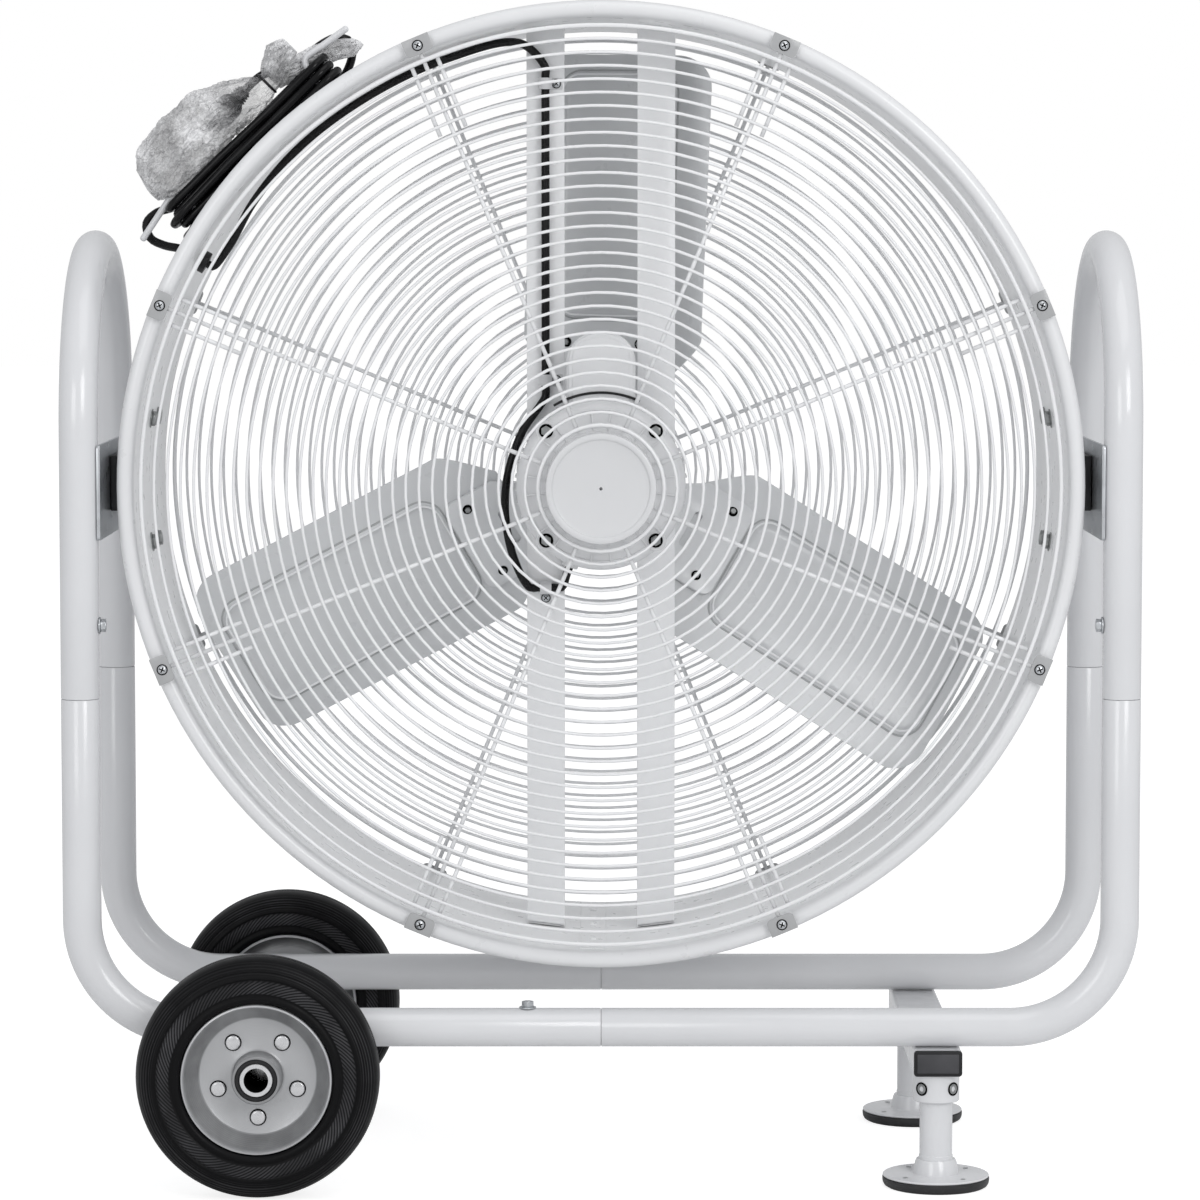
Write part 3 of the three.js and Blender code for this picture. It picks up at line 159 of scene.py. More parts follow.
class Finish:
    """A procedural material with one Principled shader; the slot it is given is not used."""

    def __init__(self, name, slot, **constants):
        self.material = bpy.data.materials.new(name)
        self.material.use_nodes = True
        self.tree = self.material.node_tree
        self.tree.nodes.clear()
        self.shader = self.tree.nodes.new("ShaderNodeBsdfPrincipled")
        self.output = self.tree.nodes.new("ShaderNodeOutputMaterial")
        self.tree.links.new(self.shader.outputs[0], self.output.inputs[0])
        for socket, value in constants.items():
            self.feed(socket.replace("_", " ").title().replace("Ior", "IOR"), value)

    def put(self, socket, value):
        if isinstance(value, Value):
            self.tree.links.new(value.socket, socket)
        elif isinstance(value, (tuple, list)) and socket.type == "RGBA":
            socket.default_value = (*value[:3], 1)
        else:
            socket.default_value = value

    def feed(self, socket, value):
        self.put(self.shader.inputs[socket], value)

    def node(self, kind, inputs, output=0, **settings):
        made = self.tree.nodes.new(kind)
        for key, value in settings.items():
            setattr(made, key, value)
        for key, value in inputs.items():
            self.put(made.inputs[key], value)
        return Value(self, made.outputs[output])

    def maths_of(self, operation, a, b=0.0):
        return self.node("ShaderNodeMath", {0: a, 1: b}, operation=operation)

    def wave(self, value):
        """A sine wave between 0 and 1."""
        return self.maths_of("SINE", value) * 0.5 + 0.5

    def spot(self):
        """The shaded point in the row frame, in metres."""
        return self.node("ShaderNodeTexCoord", {}, 3)

    def from_axis(self, centre_x, centre_z):
        """x, y and z in metres, measured from an axis along Y that is given in millimetres."""
        parts = self.tree.nodes.new("ShaderNodeSeparateXYZ")
        self.put(parts.inputs[0], self.spot())
        x, y, z = (Value(self, output) for output in parts.outputs)
        return x - centre_x * MM, y, z - centre_z * MM

    def noise(self, scale, detail=2.0, stretch=(1, 1, 1)):
        place = self.node("ShaderNodeMapping", {"Vector": self.spot(), "Scale": stretch})
        return self.node("ShaderNodeTexNoise", {"Vector": place, "Scale": scale, "Detail": detail})

    def between(self, value, low, high, floor=0.0, ceiling=1.0):
        edges = {"Value": value, "From Min": low, "From Max": high, "To Min": floor, "To Max": ceiling}
        return self.node("ShaderNodeMapRange", edges)

    def band(self, value, start, full, last, end):
        """1 from full to last, falling to 0 at start and at end."""
        return self.between(value, start, full) * self.between(value, end, last)

    def mix(self, share, a, b):
        return self.node("ShaderNodeMix", {0: share, 6: a, 7: b}, 2, data_type="RGBA")

    def bump(self, height, depth):
        self.feed("Normal", self.node("ShaderNodeBump", {"Height": height, "Distance": depth, "Strength": 1.0}))


def dimmed(colour, share):
    return tuple(channel * share for channel in colour)


def distance(x, z):
    return (x * x + z * z) ** 0.5


def coated(name, slot, colour, gloss=0.28, peel=0.00006, coat=0.35, wall=None):
    """Powder coat: a faint orange peel, cloudy gloss and a little drift in the colour.
    The lighter colour named wall takes over inside the drum, short of its rolled edges: painted light on the
    drum's inner wall."""
    finish = Finish(name, slot, roughness=gloss, coat_weight=coat, coat_roughness=0.12, metallic=0.0)
    drift = finish.noise(7, 3)
    fine = finish.noise(60, 4)
    base = finish.mix(finish.between(drift, 0.3, 0.7), dimmed(colour, 0.955), colour)
    if wall:
        x, y, z = finish.from_axis(0, PIVOT_Z)
        depth, radius = finish.maths_of("ABSOLUTE", y), distance(x, z)
        inside = finish.between(depth, (DRUM_HALF - 2) * MM, (DRUM_HALF - 14) * MM)
        inside = inside * finish.between(radius, (DRUM_R + 1) * MM, (DRUM_R + 0.5) * MM)
        base = finish.mix(inside, base, wall)
    finish.feed("Base Color", base)
    finish.feed("Roughness", finish.between(fine, 0.25, 0.75, gloss - 0.05, gloss + 0.07))
    finish.bump(finish.noise(420, 1), peel)
    return finish.material


def plated(name, slot, colour, gloss=0.3):
    """Zinc plate: bright metal with faint clouds and short rolling marks."""
    finish = Finish(name, slot, metallic=1.0)
    clouds = finish.noise(90, 4)
    marks = finish.noise(300, 2, (1, 1, 0.08))
    finish.feed("Base Color", finish.mix(clouds, dimmed(colour, 0.8), colour))
    finish.feed("Roughness", finish.between(clouds * 0.6 + marks * 0.4, 0.3, 0.7, gloss - 0.06, gloss + 0.12))
    finish.bump(marks, 0.00004)
    return finish.material


def moulded(name, slot, colour, gloss=0.5, grain=0.00008, sheen=0.3):
    """Moulded plastic or rubber with a fine grain."""
    finish = Finish(name, slot, metallic=0.0, specular_ior_level=sheen)
    grains = finish.noise(700, 2)
    patches = finish.noise(25, 3)
    light = tuple(min(channel * 1.35 + 0.004, 1) for channel in colour)
    finish.feed("Base Color", finish.mix(finish.between(patches, 0.35, 0.7), colour, light))
    finish.feed("Roughness", finish.between(patches, 0.3, 0.7, gloss - 0.06, gloss + 0.08))
    finish.bump(grains, grain)
    return finish.material


# Bands in metres: where each starts, is full, is last full and ends.
HATCH_BAND = (0.0890, 0.0900, 0.1015, 0.1030)
RING_BAND = (0.1070, 0.1080, 0.1190, 0.1210)
SLOPE_SHADE_BAND = (0.0595, 0.0615, 0.0735, 0.0750)
CLEAR_BAND = (-0.004, 0.020, 0.050, 0.066)
HATCH_COUNT = 110
HATCH_SLANT = 1900
RING_PITCH = 0.0026
LINE_PITCH = 0.0015


def tyre_rubber(name, slot):
    """Tyre rubber with a fine slanted hatch on its side band, turned rings outside it and dusty patches."""
    finish = Finish(name, slot, metallic=0.0, specular_ior_level=0.12)
    x, _, z = finish.from_axis(AXLE_X, AXLE_Z)
    radius = distance(x, z)
    slant = finish.wave(finish.maths_of("ARCTAN2", z, x) * HATCH_COUNT + radius * HATCH_SLANT)
    hatched = finish.band(radius, *HATCH_BAND)
    rings = finish.wave(radius * (TAU / RING_PITCH))
    ringed = finish.band(radius, *RING_BAND)
    dust = finish.between(finish.noise(14, 3), 0.40, 0.72)
    pale = hatched * slant * (dust * 0.8 + 0.35) + ringed * rings ** 3 * (dust * 0.5 + 0.12)
    finish.feed("Base Color", finish.mix(pale, (0.003, 0.003, 0.0035), (0.085, 0.085, 0.09)))
    finish.feed("Roughness", finish.between(finish.noise(22, 4), 0.3, 0.7, 0.3, 0.5) + hatched * 0.12)
    finish.bump(slant * hatched * 0.5 + rings * ringed * 0.5 + finish.noise(600, 2) * 0.2, 0.0006)
    return finish.material


def rim_coat(name, slot, colour, gloss=0.36):
    """Silver paint on the rim with patchy clouds, painted shade on the slope round its face, darker round the hub,
    and faint turned lines.
    """
    finish = Finish(name, slot, roughness=gloss, coat_weight=0.3, coat_roughness=0.15, metallic=0.35)
    x, _, z = finish.from_axis(AXLE_X, AXLE_Z)
    radius = distance(x, z)
    slope = finish.band(radius, *SLOPE_SHADE_BAND)
    boss = finish.between(radius, 0.0285, 0.0255)
    clouds = finish.between(finish.noise(30, 4), 0.3, 0.7)
    lines = finish.wave(radius * (TAU / LINE_PITCH))
    # The slope band is painted shade in the recess round the rim's face, patchy with the clouds; the rim is also
    # darkened round the hub.
    dark = slope * (clouds * 0.3 + 0.35) + boss * 0.55 + lines * 0.05 + clouds * 0.08
    finish.feed("Base Color", finish.mix(dark, colour, dimmed(colour, 0.28)))
    finish.feed("Roughness", finish.between(clouds, 0.0, 1.0, gloss - 0.06, gloss + 0.08))
    finish.bump(lines, 0.00006)
    return finish.material


def crumpled_film(name, slot):
    """See-through packing film: grey white with painted highlights along its fold and wrinkle lines and in lumps,
    darker and clearer over the plug's neck.
    """
    finish = Finish(name, slot, metallic=0.0)
    x, _, z = finish.from_axis(0, PIVOT_Z)
    along = x * HANK_ACROSS.x + z * HANK_ACROSS.z
    clear = finish.band(along, *CLEAR_BAND)
    folds = finish.noise(52, 5, (1, 0.6, 1))
    fine = finish.noise(230, 3)
    crease = finish.between(finish.maths_of("ABSOLUTE", folds - 0.5), 0.0, 0.03)
    wrinkle = finish.between(finish.maths_of("ABSOLUTE", fine - 0.5), 0.0, 0.06)
    lumps = finish.between(finish.noise(26, 4, (1, 0.5, 1)), 0.38, 0.6)
    # Painted highlights in the film's colour: lighter along the fold and wrinkle lines and in the lumps.
    bright = lumps * 0.5 + (1 - crease) * 0.3 + (1 - wrinkle) * 0.15 + 0.36 - clear * 0.3
    finish.feed("Base Color", finish.mix(bright, (0.05, 0.05, 0.055), (0.97, 0.97, 0.98)))
    finish.feed("Roughness", finish.between(fine, 0.3, 0.7, 0.08, 0.24))
    finish.feed("Alpha", finish.between(bright, 0.2, 1.0, 0.4, 0.93) - clear * 0.25)
    finish.bump(folds * 0.6 - crease * 0.2 + fine * 0.4, 0.006)
    return finish.material


FRAME_GREY = coated("frame_powder_coat", "frame_paint", (0.73, 0.735, 0.75), 0.2)
# The drum's inner wall gets a lighter copy of its white: painted light inside the drum.
DRUM_WHITE = coated("drum_white_coat", "white_paint", (0.78, 0.785, 0.795), 0.3, 0.00002, wall=(0.96, 0.965, 0.97))
WIRE_WHITE = coated("grille_wire_coat", "grille_coat", (0.83, 0.835, 0.845), 0.3, 0.00003)
STRUT_WHITE = coated("strut_white_coat", "white_paint", (0.88, 0.885, 0.895), 0.35)
BLADE_WHITE = coated("blade_white_coat", "white_paint", (0.66, 0.67, 0.68), 0.3)
MOTOR_GREY = coated("motor_grey_coat", "motor_paint", (0.80, 0.805, 0.815), 0.4)
CAP_GREY = coated("motor_cap_plastic", "cap_plastic", (0.66, 0.665, 0.675), 0.42, 0.00003, 0.15)
SPIDER_GREY = coated("spider_grey_coat", "spider_paint", (0.74, 0.75, 0.76), 0.35)
CLIP_GREY = coated("clip_grey_coat", "grille_coat", (0.40, 0.405, 0.41), 0.35)
# A darker grey for the line outside each blade panel: painted shade along the pressed crease.
CREASE_SHADE_GREY = coated("painted_crease_shade", "white_paint", (0.42, 0.43, 0.435), 0.45)
RIM_GREY = rim_coat("rim_silver_coat", "rim_paint", (0.50, 0.505, 0.515))
ZINC = plated("zinc_plating", "zinc_plate", (0.62, 0.64, 0.66))
STEEL = plated("turned_steel", "bright_steel", (0.80, 0.80, 0.81), 0.24)
DARK_ZINC = plated("dark_zinc", "zinc_plate", (0.36, 0.37, 0.37), 0.35)
# Flat black with no sheen, used as painted shade in bores, recesses and round heads.
SHADE_BLACK = moulded("painted_shade_black", "bright_steel", (0.002, 0.002, 0.002), 0.8, sheen=0.0)
BLACK = moulded("black_moulding", "black_plastic", (0.010, 0.010, 0.011), 0.4, sheen=0.3)
CAP_BLACK = moulded("bar_cap_plastic", "black_plastic", (0.042, 0.042, 0.046), 0.4, sheen=0.4)
PAD_RUBBER = moulded("foot_rubber", "rubber_pad", (0.014, 0.014, 0.015), 0.45, sheen=0.5)
CORD_BLACK = moulded("cord_sheath", "cord_rubber", (0.0045, 0.0045, 0.005), 0.24, 0.00003, 0.22)
TYRE_BLACK = tyre_rubber("tyre_black", "tyre_rubber")
HOOK_GREY = coated("hook_grey_coat", "hook_coat", (0.73, 0.735, 0.75), 0.3)
FILM = crumpled_film("bubble_film", "wrap_film")


# ---- Shapes ----
class Shape:
    """A bmesh in millimetres that other shapes can be added to."""

    def __init__(self):
        self.bm = bmesh.new()

    def add(self, other, place=IDENTITY):
        mesh = bpy.data.meshes.new("part")
        other.bm.to_mesh(mesh)
        mesh.transform(place)
        if place.determinant() < 0:
            mesh.flip_normals()
        self.bm.from_mesh(mesh)
        bpy.data.meshes.remove(mesh)
        return self

    def moved(self, place):
        return Shape().add(self, place)

    def clean(self):
        bmesh.ops.remove_doubles(self.bm, verts=self.bm.verts, dist=1e-4)
        bmesh.ops.recalc_face_normals(self.bm, faces=self.bm.faces)
        return self

    def bevelled(self, width, segments=2, angle=30):
        if not width:
            return self
        edges = [e for e in self.bm.edges if e.is_manifold and e.calc_face_angle() > math.radians(angle)]
        bmesh.ops.bevel(self.bm, geom=edges, offset=width, segments=segments, profile=0.5,
                        affect="EDGES", material=-1, clamp_overlap=True)
        return self


def shown(name, data, look, body, nodes):
    """A mesh or a curve as a piece with its look, riding on a body and standing for CAD nodes."""
    data.materials.append(look)
    piece = linked(name, data)
    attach(piece, body)
    if nodes:
        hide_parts(*nodes)
    return piece


def finished(name, shape, look, body, *nodes, sharp=38):
    """A shape as a piece in metres."""
    mesh = bpy.data.meshes.new(name)
    shape.bm.to_mesh(mesh)
    shape.bm.free()
    mesh.transform(Matrix.Scale(MM, 4))
    mesh.shade_smooth()
    mesh.set_sharp_from_angle(angle=math.radians(sharp))
    return shown(name, mesh, look, body, nodes)


def shift(x=0.0, y=0.0, z=0.0):
    return Matrix.Translation((x, y, z))


def turn(degrees, axis):
    return Matrix.Rotation(math.radians(degrees), 4, axis)


def direction(angle):
    """Out from the Y axis, at an angle from +X towards +Z."""
    return Vector((math.cos(angle), 0, math.sin(angle)))


def facing(place, way):
    """A matrix that stands a shape made on z 0 at a place, pointing the given way."""
    return Matrix.Translation(place) @ Vector(way).to_track_quat("Z", "Y").to_matrix().to_4x4()


UP = shift(z=PIVOT_Z)
TO_FRONT = facing((0, 0, 0), (0, -1, 0))
ON_END = turn(90, "X")
MIRROR_X = Matrix.Diagonal((-1, 1, 1, 1))
MIRROR_Y = Matrix.Diagonal((1, -1, 1, 1))


def on_drum(name, shape, look, *nodes, hand=IDENTITY, body="drum", sharp=38):
    """A piece whose shape is drawn about the drum's own axis."""
    return finished(name, shape.moved(UP @ hand), look, body, *nodes, sharp=sharp)


def copies(made, places):
    """One shape with a copy of another at each place."""
    shape = Shape()
    for place in places:
        shape.add(made, place)
    return shape


def neighbours(items, closed=True):
    """Each item with the one after it, and the last with the first on a closed line."""
    return list(zip(items, items[1:] + items[:1] if closed else items[1:]))


def verts_in(geometry):
    return [g for g in geometry if isinstance(g, bmesh.types.BMVert)]


def drawn_out(shape, faces, depth, bevel):
    """Flat faces at y 0, drawn out to y depth."""
    made = bmesh.ops.extrude_face_region(shape.bm, geom=faces)["geom"]
    bmesh.ops.translate(shape.bm, verts=verts_in(made), vec=(0, depth, 0))
    return shape.clean().bevelled(bevel)


def skinned(bm, rings, closed):
    """Faces between each ring of vertices and the next."""
    for low, top in neighbours(rings, closed):
        for (low_a, low_b), (top_a, top_b) in zip(neighbours(low), neighbours(top)):
            bm.faces.new((low_a, low_b, top_b, top_a))


def turned(profile, steps=64, closed=True):
    """A profile of (radius, y) points spun about the Y axis."""
    shape = Shape()
    bm = shape.bm
    verts = [bm.verts.new((r, y, 0)) for r, y in profile]
    edges = [bm.edges.new(pair) for pair in neighbours(verts, closed)]
    bmesh.ops.spin(bm, geom=verts + edges, cent=(0, 0, 0), axis=(0, 1, 0), angle=TAU,
                   steps=steps, use_merge=True)
    return shape.clean()


def wire_ring(radius, wire, y, steps, sides=8):
    profile = [(radius + wire * math.cos(TAU * i / sides), y + wire * math.sin(TAU * i / sides))
               for i in range(sides)]
    return turned(profile, steps)


def rod(start, end, radius, sides=20, end_radius=None, bevel=0.0):
    """A cylinder or cone between two points."""
    start, end = Vector(start), Vector(end)
    shape = Shape()
    bmesh.ops.create_cone(shape.bm, cap_ends=True, segments=sides, radius1=radius,
                          radius2=radius if end_radius is None else end_radius,
                          depth=(end - start).length, matrix=facing((start + end) / 2, end - start))
    return shape.bevelled(bevel, 2, 60)


def block(x0, x1, y0, y1, z0, z1, bevel=0.6, segments=2):
    shape = Shape()
    size = Matrix.Diagonal((x1 - x0, y1 - y0, z1 - z0, 1))
    place = shift((x0 + x1) / 2, (y0 + y1) / 2, (z0 + z1) / 2)
    bmesh.ops.create_cube(shape.bm, size=1, matrix=place @ size)
    return shape.bevelled(bevel, segments)


def prism(points, depth, bevel=0.5):
    """An outline of (x, z) points at y 0, drawn out to y depth."""
    shape = Shape()
    face = shape.bm.faces.new([shape.bm.verts.new((x, 0, z)) for x, z in points])
    return drawn_out(shape, [face], depth, bevel)


def plate(outline, holes, depth, bevel=0.4):
    """A flat plate of (x, z) loops at y 0, drawn out to y depth, with its holes left open."""
    shape = Shape()
    bm = shape.bm
    for loop in (outline, *holes):
        for pair in neighbours([bm.verts.new((x, 0, z)) for x, z in loop]):
            bm.edges.new(pair)
    faces = bmesh.ops.triangle_fill(bm, use_beauty=True, edges=list(bm.edges), normal=(0, -1, 0))["geom"]
    return drawn_out(shape, [f for f in faces if isinstance(f, bmesh.types.BMFace)], depth, bevel)


def arc_strip(inner, outer, y0, y1, start, end, steps=24, bevel=0.3):
    """A curved strip about the Y axis between two angles, measured from +X towards +Z."""
    shape = Shape()
    bm = shape.bm
    corners = ((inner, y0, 0), (outer, y0, 0), (outer, y1, 0), (inner, y1, 0))
    face = bm.faces.new([bm.verts.new(corner) for corner in corners])
    bmesh.ops.spin(bm, geom=[face, *face.edges, *face.verts], cent=(0, 0, 0), axis=(0, -1, 0),
                   angle=math.radians(end - start), steps=steps)
    return shape.clean().bevelled(bevel, 1, 60).moved(turn(-start, "Y"))


def arc(cx, cz, radius, start, end, steps):
    angles = [math.radians(start + (end - start) * i / steps) for i in range(steps + 1)]
    return [(cx + radius * math.cos(a), cz + radius * math.sin(a)) for a in angles]


CORNERS = ((1, 1, 0), (-1, 1, 90), (-1, -1, 180), (1, -1, 270))


def rounded(half_x, half_z, corner, steps=5, middle=(0, 0)):
    """The outline of a rectangle with round corners."""
    points = []
    for sx, sz, start in CORNERS:
        points += arc(middle[0] + sx * (half_x - corner), middle[1] + sz * (half_z - corner), corner,
                      start, start + 90, steps)
    return points


def loop_of(geometry):
    """The edges among some geometry whose ends are both in it."""
    verts = set(verts_in(geometry))
    return [g for g in geometry if isinstance(g, bmesh.types.BMEdge) and set(g.verts) <= verts]


def bent_tube(radius, start, along, moves, sides=36, lip=1.2):
    """A tube from a point; each move is a straight vector or a bend (degrees, centre, axis, steps)."""
    shape = Shape()
    bm = shape.bm
    bmesh.ops.create_circle(bm, segments=sides, radius=radius, cap_ends=False, matrix=facing(start, along))
    first = edges = list(bm.edges)
    for move in moves:
        if len(move) == 3:
            made = bmesh.ops.extrude_edge_only(bm, edges=edges)["geom"]
            bmesh.ops.translate(bm, verts=verts_in(made), vec=move)
        else:
            degrees, centre, axis, steps = move
            verts = list({v for e in edges for v in e.verts})
            made = bmesh.ops.spin(bm, geom=verts + edges, cent=centre, axis=axis,
                                  angle=math.radians(degrees), steps=steps)["geom_last"]
        edges = loop_of(made)
    for rim in (first, edges):
        verts = verts_in(bmesh.ops.extrude_edge_only(bm, edges=rim)["geom"])
        centre = sum((v.co for v in verts), Vector()) / len(verts)
        bmesh.ops.scale(bm, vec=((radius - lip) / radius,) * 3, verts=verts,
                        space=Matrix.Translation(-centre))
    return shape.clean()


def hex_bolt(radius, height, washer=0.0):
    """A hexagon head standing on z 0, its corners chamfered, with a washer under it."""
    shape = rod((0, 0, washer), (0, 0, height), radius, 6).bevelled(0.5)
    shape.add(rod((0, 0, height - 1.5), (0, 0, height + 0.3), radius * 0.78, 24, radius * 0.7))
    if washer:
        shape.add(rod((0, 0, 0), (0, 0, washer), radius * 1.25, 28, bevel=0.3))
    return shape


def low_dome(radius, height, around, rings):
    """A low dome standing on z 0, closed underneath."""
    shape = Shape()
    bm = shape.bm
    bmesh.ops.create_uvsphere(bm, u_segments=around, v_segments=rings, radius=radius)
    low = [v for v in bm.verts if v.co.z < -1e-3]
    bmesh.ops.delete(bm, geom=low, context="VERTS")
    bmesh.ops.scale(bm, vec=(1, 1, height / radius), verts=bm.verts)
    bmesh.ops.holes_fill(bm, edges=[e for e in bm.edges if e.is_boundary])
    return shape


def pan_screw(radius):
    """A pan head standing on z 0; its cross recess is a piece of its own."""
    return low_dome(radius, radius * 0.55, 24, 12)


def cross_mark(radius):
    """The cross recess of a pan head as a flat black cross of painted shade, with a flat black ring of painted
    shade round the head.
    """
    shape = rod((0, 0, 0), (0, 0, 0.5), radius * 1.16, 28)
    for quarter in (45, 135):
        slot = block(-radius * 0.62, radius * 0.62, -radius * 0.13, radius * 0.13, radius * 0.3, radius * 0.575, 0)
        shape.add(slot, turn(quarter, "Z"))
    return shape


def dome(radius, height):
    """A low domed rivet head standing on z 0."""
    return low_dome(radius, height, 20, 10)


# ---- Supply cord: one line from the gland through the hank to the plug ----
CORD_R = 4.5
LINE_Y = -65
GLAND_ANGLE = math.radians(151)
HANK_HALF = HOOK_REACH * math.sin((HOOK_ANGLES[1] - HOOK_ANGLES[0]) / 2) - 1
HANK_INNER = 2.75 + CORD_R + 1
HANK_BASE = DRUM_OUT + CORD_R + 1
HANK_STEP = 9.9
HANK_TURNS = 6
HANK_LAYERS = 4
HANK_RUN = 0.34
PLUG_A = 34
PLUG_C = 553
GLAND_TIP = DRUM_OUT + 16


def on_hank(a, b, c):
    """A point on the hank's own axes: a towards the upper hook, b along Y, c out from the drum's axis."""
    return HANK_OUT * c + HANK_ACROSS * a + Vector((0, LINE_Y + b, PIVOT_Z))


def round_drum(radius, angle, y):
    return Vector((radius * math.cos(angle), y, PIVOT_Z + radius * math.sin(angle)))


def on_gland(radius):
    return round_drum(radius, GLAND_ANGLE, LINE_Y)


def hank_point(s):
    """A point of the hank after s turns: long loops that step out and in, one layer on the last."""
    per_layer = HANK_TURNS / HANK_LAYERS
    layer = min(int(s / per_layer), HANK_LAYERS - 1)
    within = s - layer * per_layer
    steps = per_layer - within if layer % 2 == 0 else within
    half = HANK_INNER + HANK_STEP * steps
    fallen = sum(min(max((s - (k + 1) * per_layer) / 0.5 + 0.5, 0), 1) for k in range(HANK_LAYERS - 1))
    share = s - int(s)
    level = HANK_LAYERS - 1 - fallen
    along = math.cos(TAU * (share - HANK_RUN))
    swell = max(-along, 0) ** 0.7 * 4.5 * level / (HANK_LAYERS - 1)
    nest = HANK_STEP * 0.5 * (0.5 + 0.5 * math.cos(math.pi * steps))
    c = HANK_BASE + HANK_STEP * level + swell + nest
    way, share = (1, share) if share < 0.5 else (-1, share - 0.5)
    if share < HANK_RUN:
        return on_hank(way * HANK_HALF * (2 * share / HANK_RUN - 1), way * half, c)
    angle = math.pi / 2 - math.pi * (share - HANK_RUN) / (0.5 - HANK_RUN)
    return on_hank(way * (HANK_HALF + half * math.cos(angle)), way * half * math.sin(angle), c)


def part_way(p, q, start, end, t):
    """The point between p at start and q at end, and beyond them, for a t."""
    return p * ((end - t) / (end - start)) + q * ((t - start) / (end - start))


def smooth_line(points, step):
    """A centripetal curve through the points, with a station every few millimetres."""
    line = [points[0].copy()]
    for i, (p1, p2) in enumerate(neighbours(points, False)):
        before = points[i - 1] if i else p1 * 2 - p2
        after = points[i + 2] if i + 2 < len(points) else p2 * 2 - p1
        ends = neighbours([before, p1, p2, after], False)
        knots = [0]
        for a, b in ends:
            knots.append(knots[-1] + max((b - a).length, 1e-6) ** 0.5)
        t0, t1, t2, t3 = knots
        count = max(1, round((p2 - p1).length / step))
        for k in range(1, count + 1):
            t = t1 + (t2 - t1) * k / count
            a1, a2, a3 = (part_way(*pair, *span, t) for pair, span in zip(ends, neighbours(knots, False)))
            line.append(part_way(part_way(a1, a2, t0, t2, t), part_way(a2, a3, t1, t3, t), t1, t2, t))
    return line


def line_length(line):
    return sum((b - a).length for a, b in neighbours(line, False))


def round_bar(name, line, radius, sides):
    """A curve of one open spline with a round section."""
    curve = bpy.data.curves.new(name, "CURVE")
    curve.dimensions = "3D"
    curve.bevel_depth = radius
    curve.bevel_resolution = sides
    curve.use_fill_caps = True
    spline = curve.splines.new("POLY")
    spline.points.add(len(line) - 1)
    for point, at in zip(spline.points, line):
        point.co = (*at, 1)
    spline.use_smooth = True
    return curve


def cable(name, line, radius, look, body, *nodes):
    """A round cable along a line, as a piece that stays a curve."""
    return shown(name, round_bar(name, [at * MM for at in line], radius * MM, 8), look, body, nodes)


HANK_SHARES = (0, 0.11, 0.23, *[HANK_RUN + (0.5 - HANK_RUN) * k / 9 for k in range(9)])
hank_line = [hank_point(n + half + share) for n in range(HANK_TURNS) for half in (0, 0.5) for share in HANK_SHARES]
hank_line.append(hank_point(HANK_TURNS - 1e-6))


def ahead(line, length):
    return line[-1] + (line[-1] - line[-2]).normalized() * length


back_from_hank = ahead([hank_line[1], hank_line[0]], 12)
LEAD_LOOP = ((-143, 10, 502), (-148, 16, 518), (-140, 20, 532), (-124, 22.5, 532))
TAIL_LOOP = (
    (-40, 27, HANK_BASE), (30, 32, HANK_BASE), (94, 35, HANK_BASE), (126, 33, HANK_BASE + 6), (141, 26, 503),
    (146, 19, 514), (139, 17, 524), (124, 18, 530), (106, 17, 532.5), (88, 13, 536.5), (72, 6, 544),
    (58, 1, PLUG_C - 2), (PLUG_A + 10, 0, PLUG_C), (PLUG_A + FIT, 0, PLUG_C),
)
lead_line = smooth_line([on_gland(GLAND_TIP + FIT), on_gland(GLAND_TIP + 6), *[on_hank(*at) for at in LEAD_LOOP],
                         back_from_hank, hank_line[0]], 4)
tail_line = smooth_line([hank_line[-1], ahead(hank_line, 12), *[on_hank(*at) for at in TAIL_LOOP]], 5)
cord_line = lead_line + hank_line[1:] + tail_line[1:]
supply_cord = cable("supply_cord", cord_line, CORD_R, CORD_BLACK, "drum",
                    "cord_lead", "cord_hank", "cord_tail")
ON_HANK = Matrix.Identity(4)
for row in range(3):
    ON_HANK[row][0] = HANK_OUT[row]
    ON_HANK[row][1] = -HANK_ACROSS[row]
    ON_HANK[row][2] = (0, 1, 0)[row]


def along_hank(a, c):
    """Stands a shape made along +Y on the hank's line, pointing at the lower hook."""
    return Matrix.Translation(on_hank(a, 0, c)) @ ON_HANK


def plug_shape():
    profile = [(0, 0), (6, 0), (6.5, 2), (8, 13), (12.6, 19), (14, 24), (14, 42.5), (12.5, 44), (0, 44)]
    shape = turned(profile, 48, False)
    for side in (-6.35, 6.35):
        shape.add(block(-3.2, 3.2, 43, 61, side - 0.8, side + 0.8, 0.4))
    shape.add(rod((-8.5, 43, 0), (-8.5, 61, 0), 2.4, 20, bevel=0.6))
    for rib in range(4):
        shape.add(wire_ring(7.2 + rib * 0.5, 1.0, 3 + rib * 3, 40))
    return shape


supply_plug = finished("supply_plug", plug_shape().moved(along_hank(PLUG_A, PLUG_C)), BLACK, "drum",
                       "cord_plug")


# ---- Tube frame ----
def lower_tube(y, slips):
    inner = FIT if slips else 0
    rise = JOINT_Z - TUBE_Z - BEND_R
    shape = bent_tube(TUBE_R, (inner, y, TUBE_Z), (1, 0, 0), [
        (POST_X - BEND_R - inner, 0, 0),
        (-90, (POST_X - BEND_R, y, TUBE_Z + BEND_R), (0, 1, 0), 28),
        (0, 0, rise),
    ]).bevelled(0.8, 2, 60)
    shape.add(rod((POST_X, y, JOINT_Z - 40), (POST_X, y, JOINT_Z + 60), TUBE_R - 1.8, 32))
    if slips:
        shape.add(rod((-60, y, TUBE_Z), (40, y, TUBE_Z), TUBE_R - 1.8, 32))
    return shape


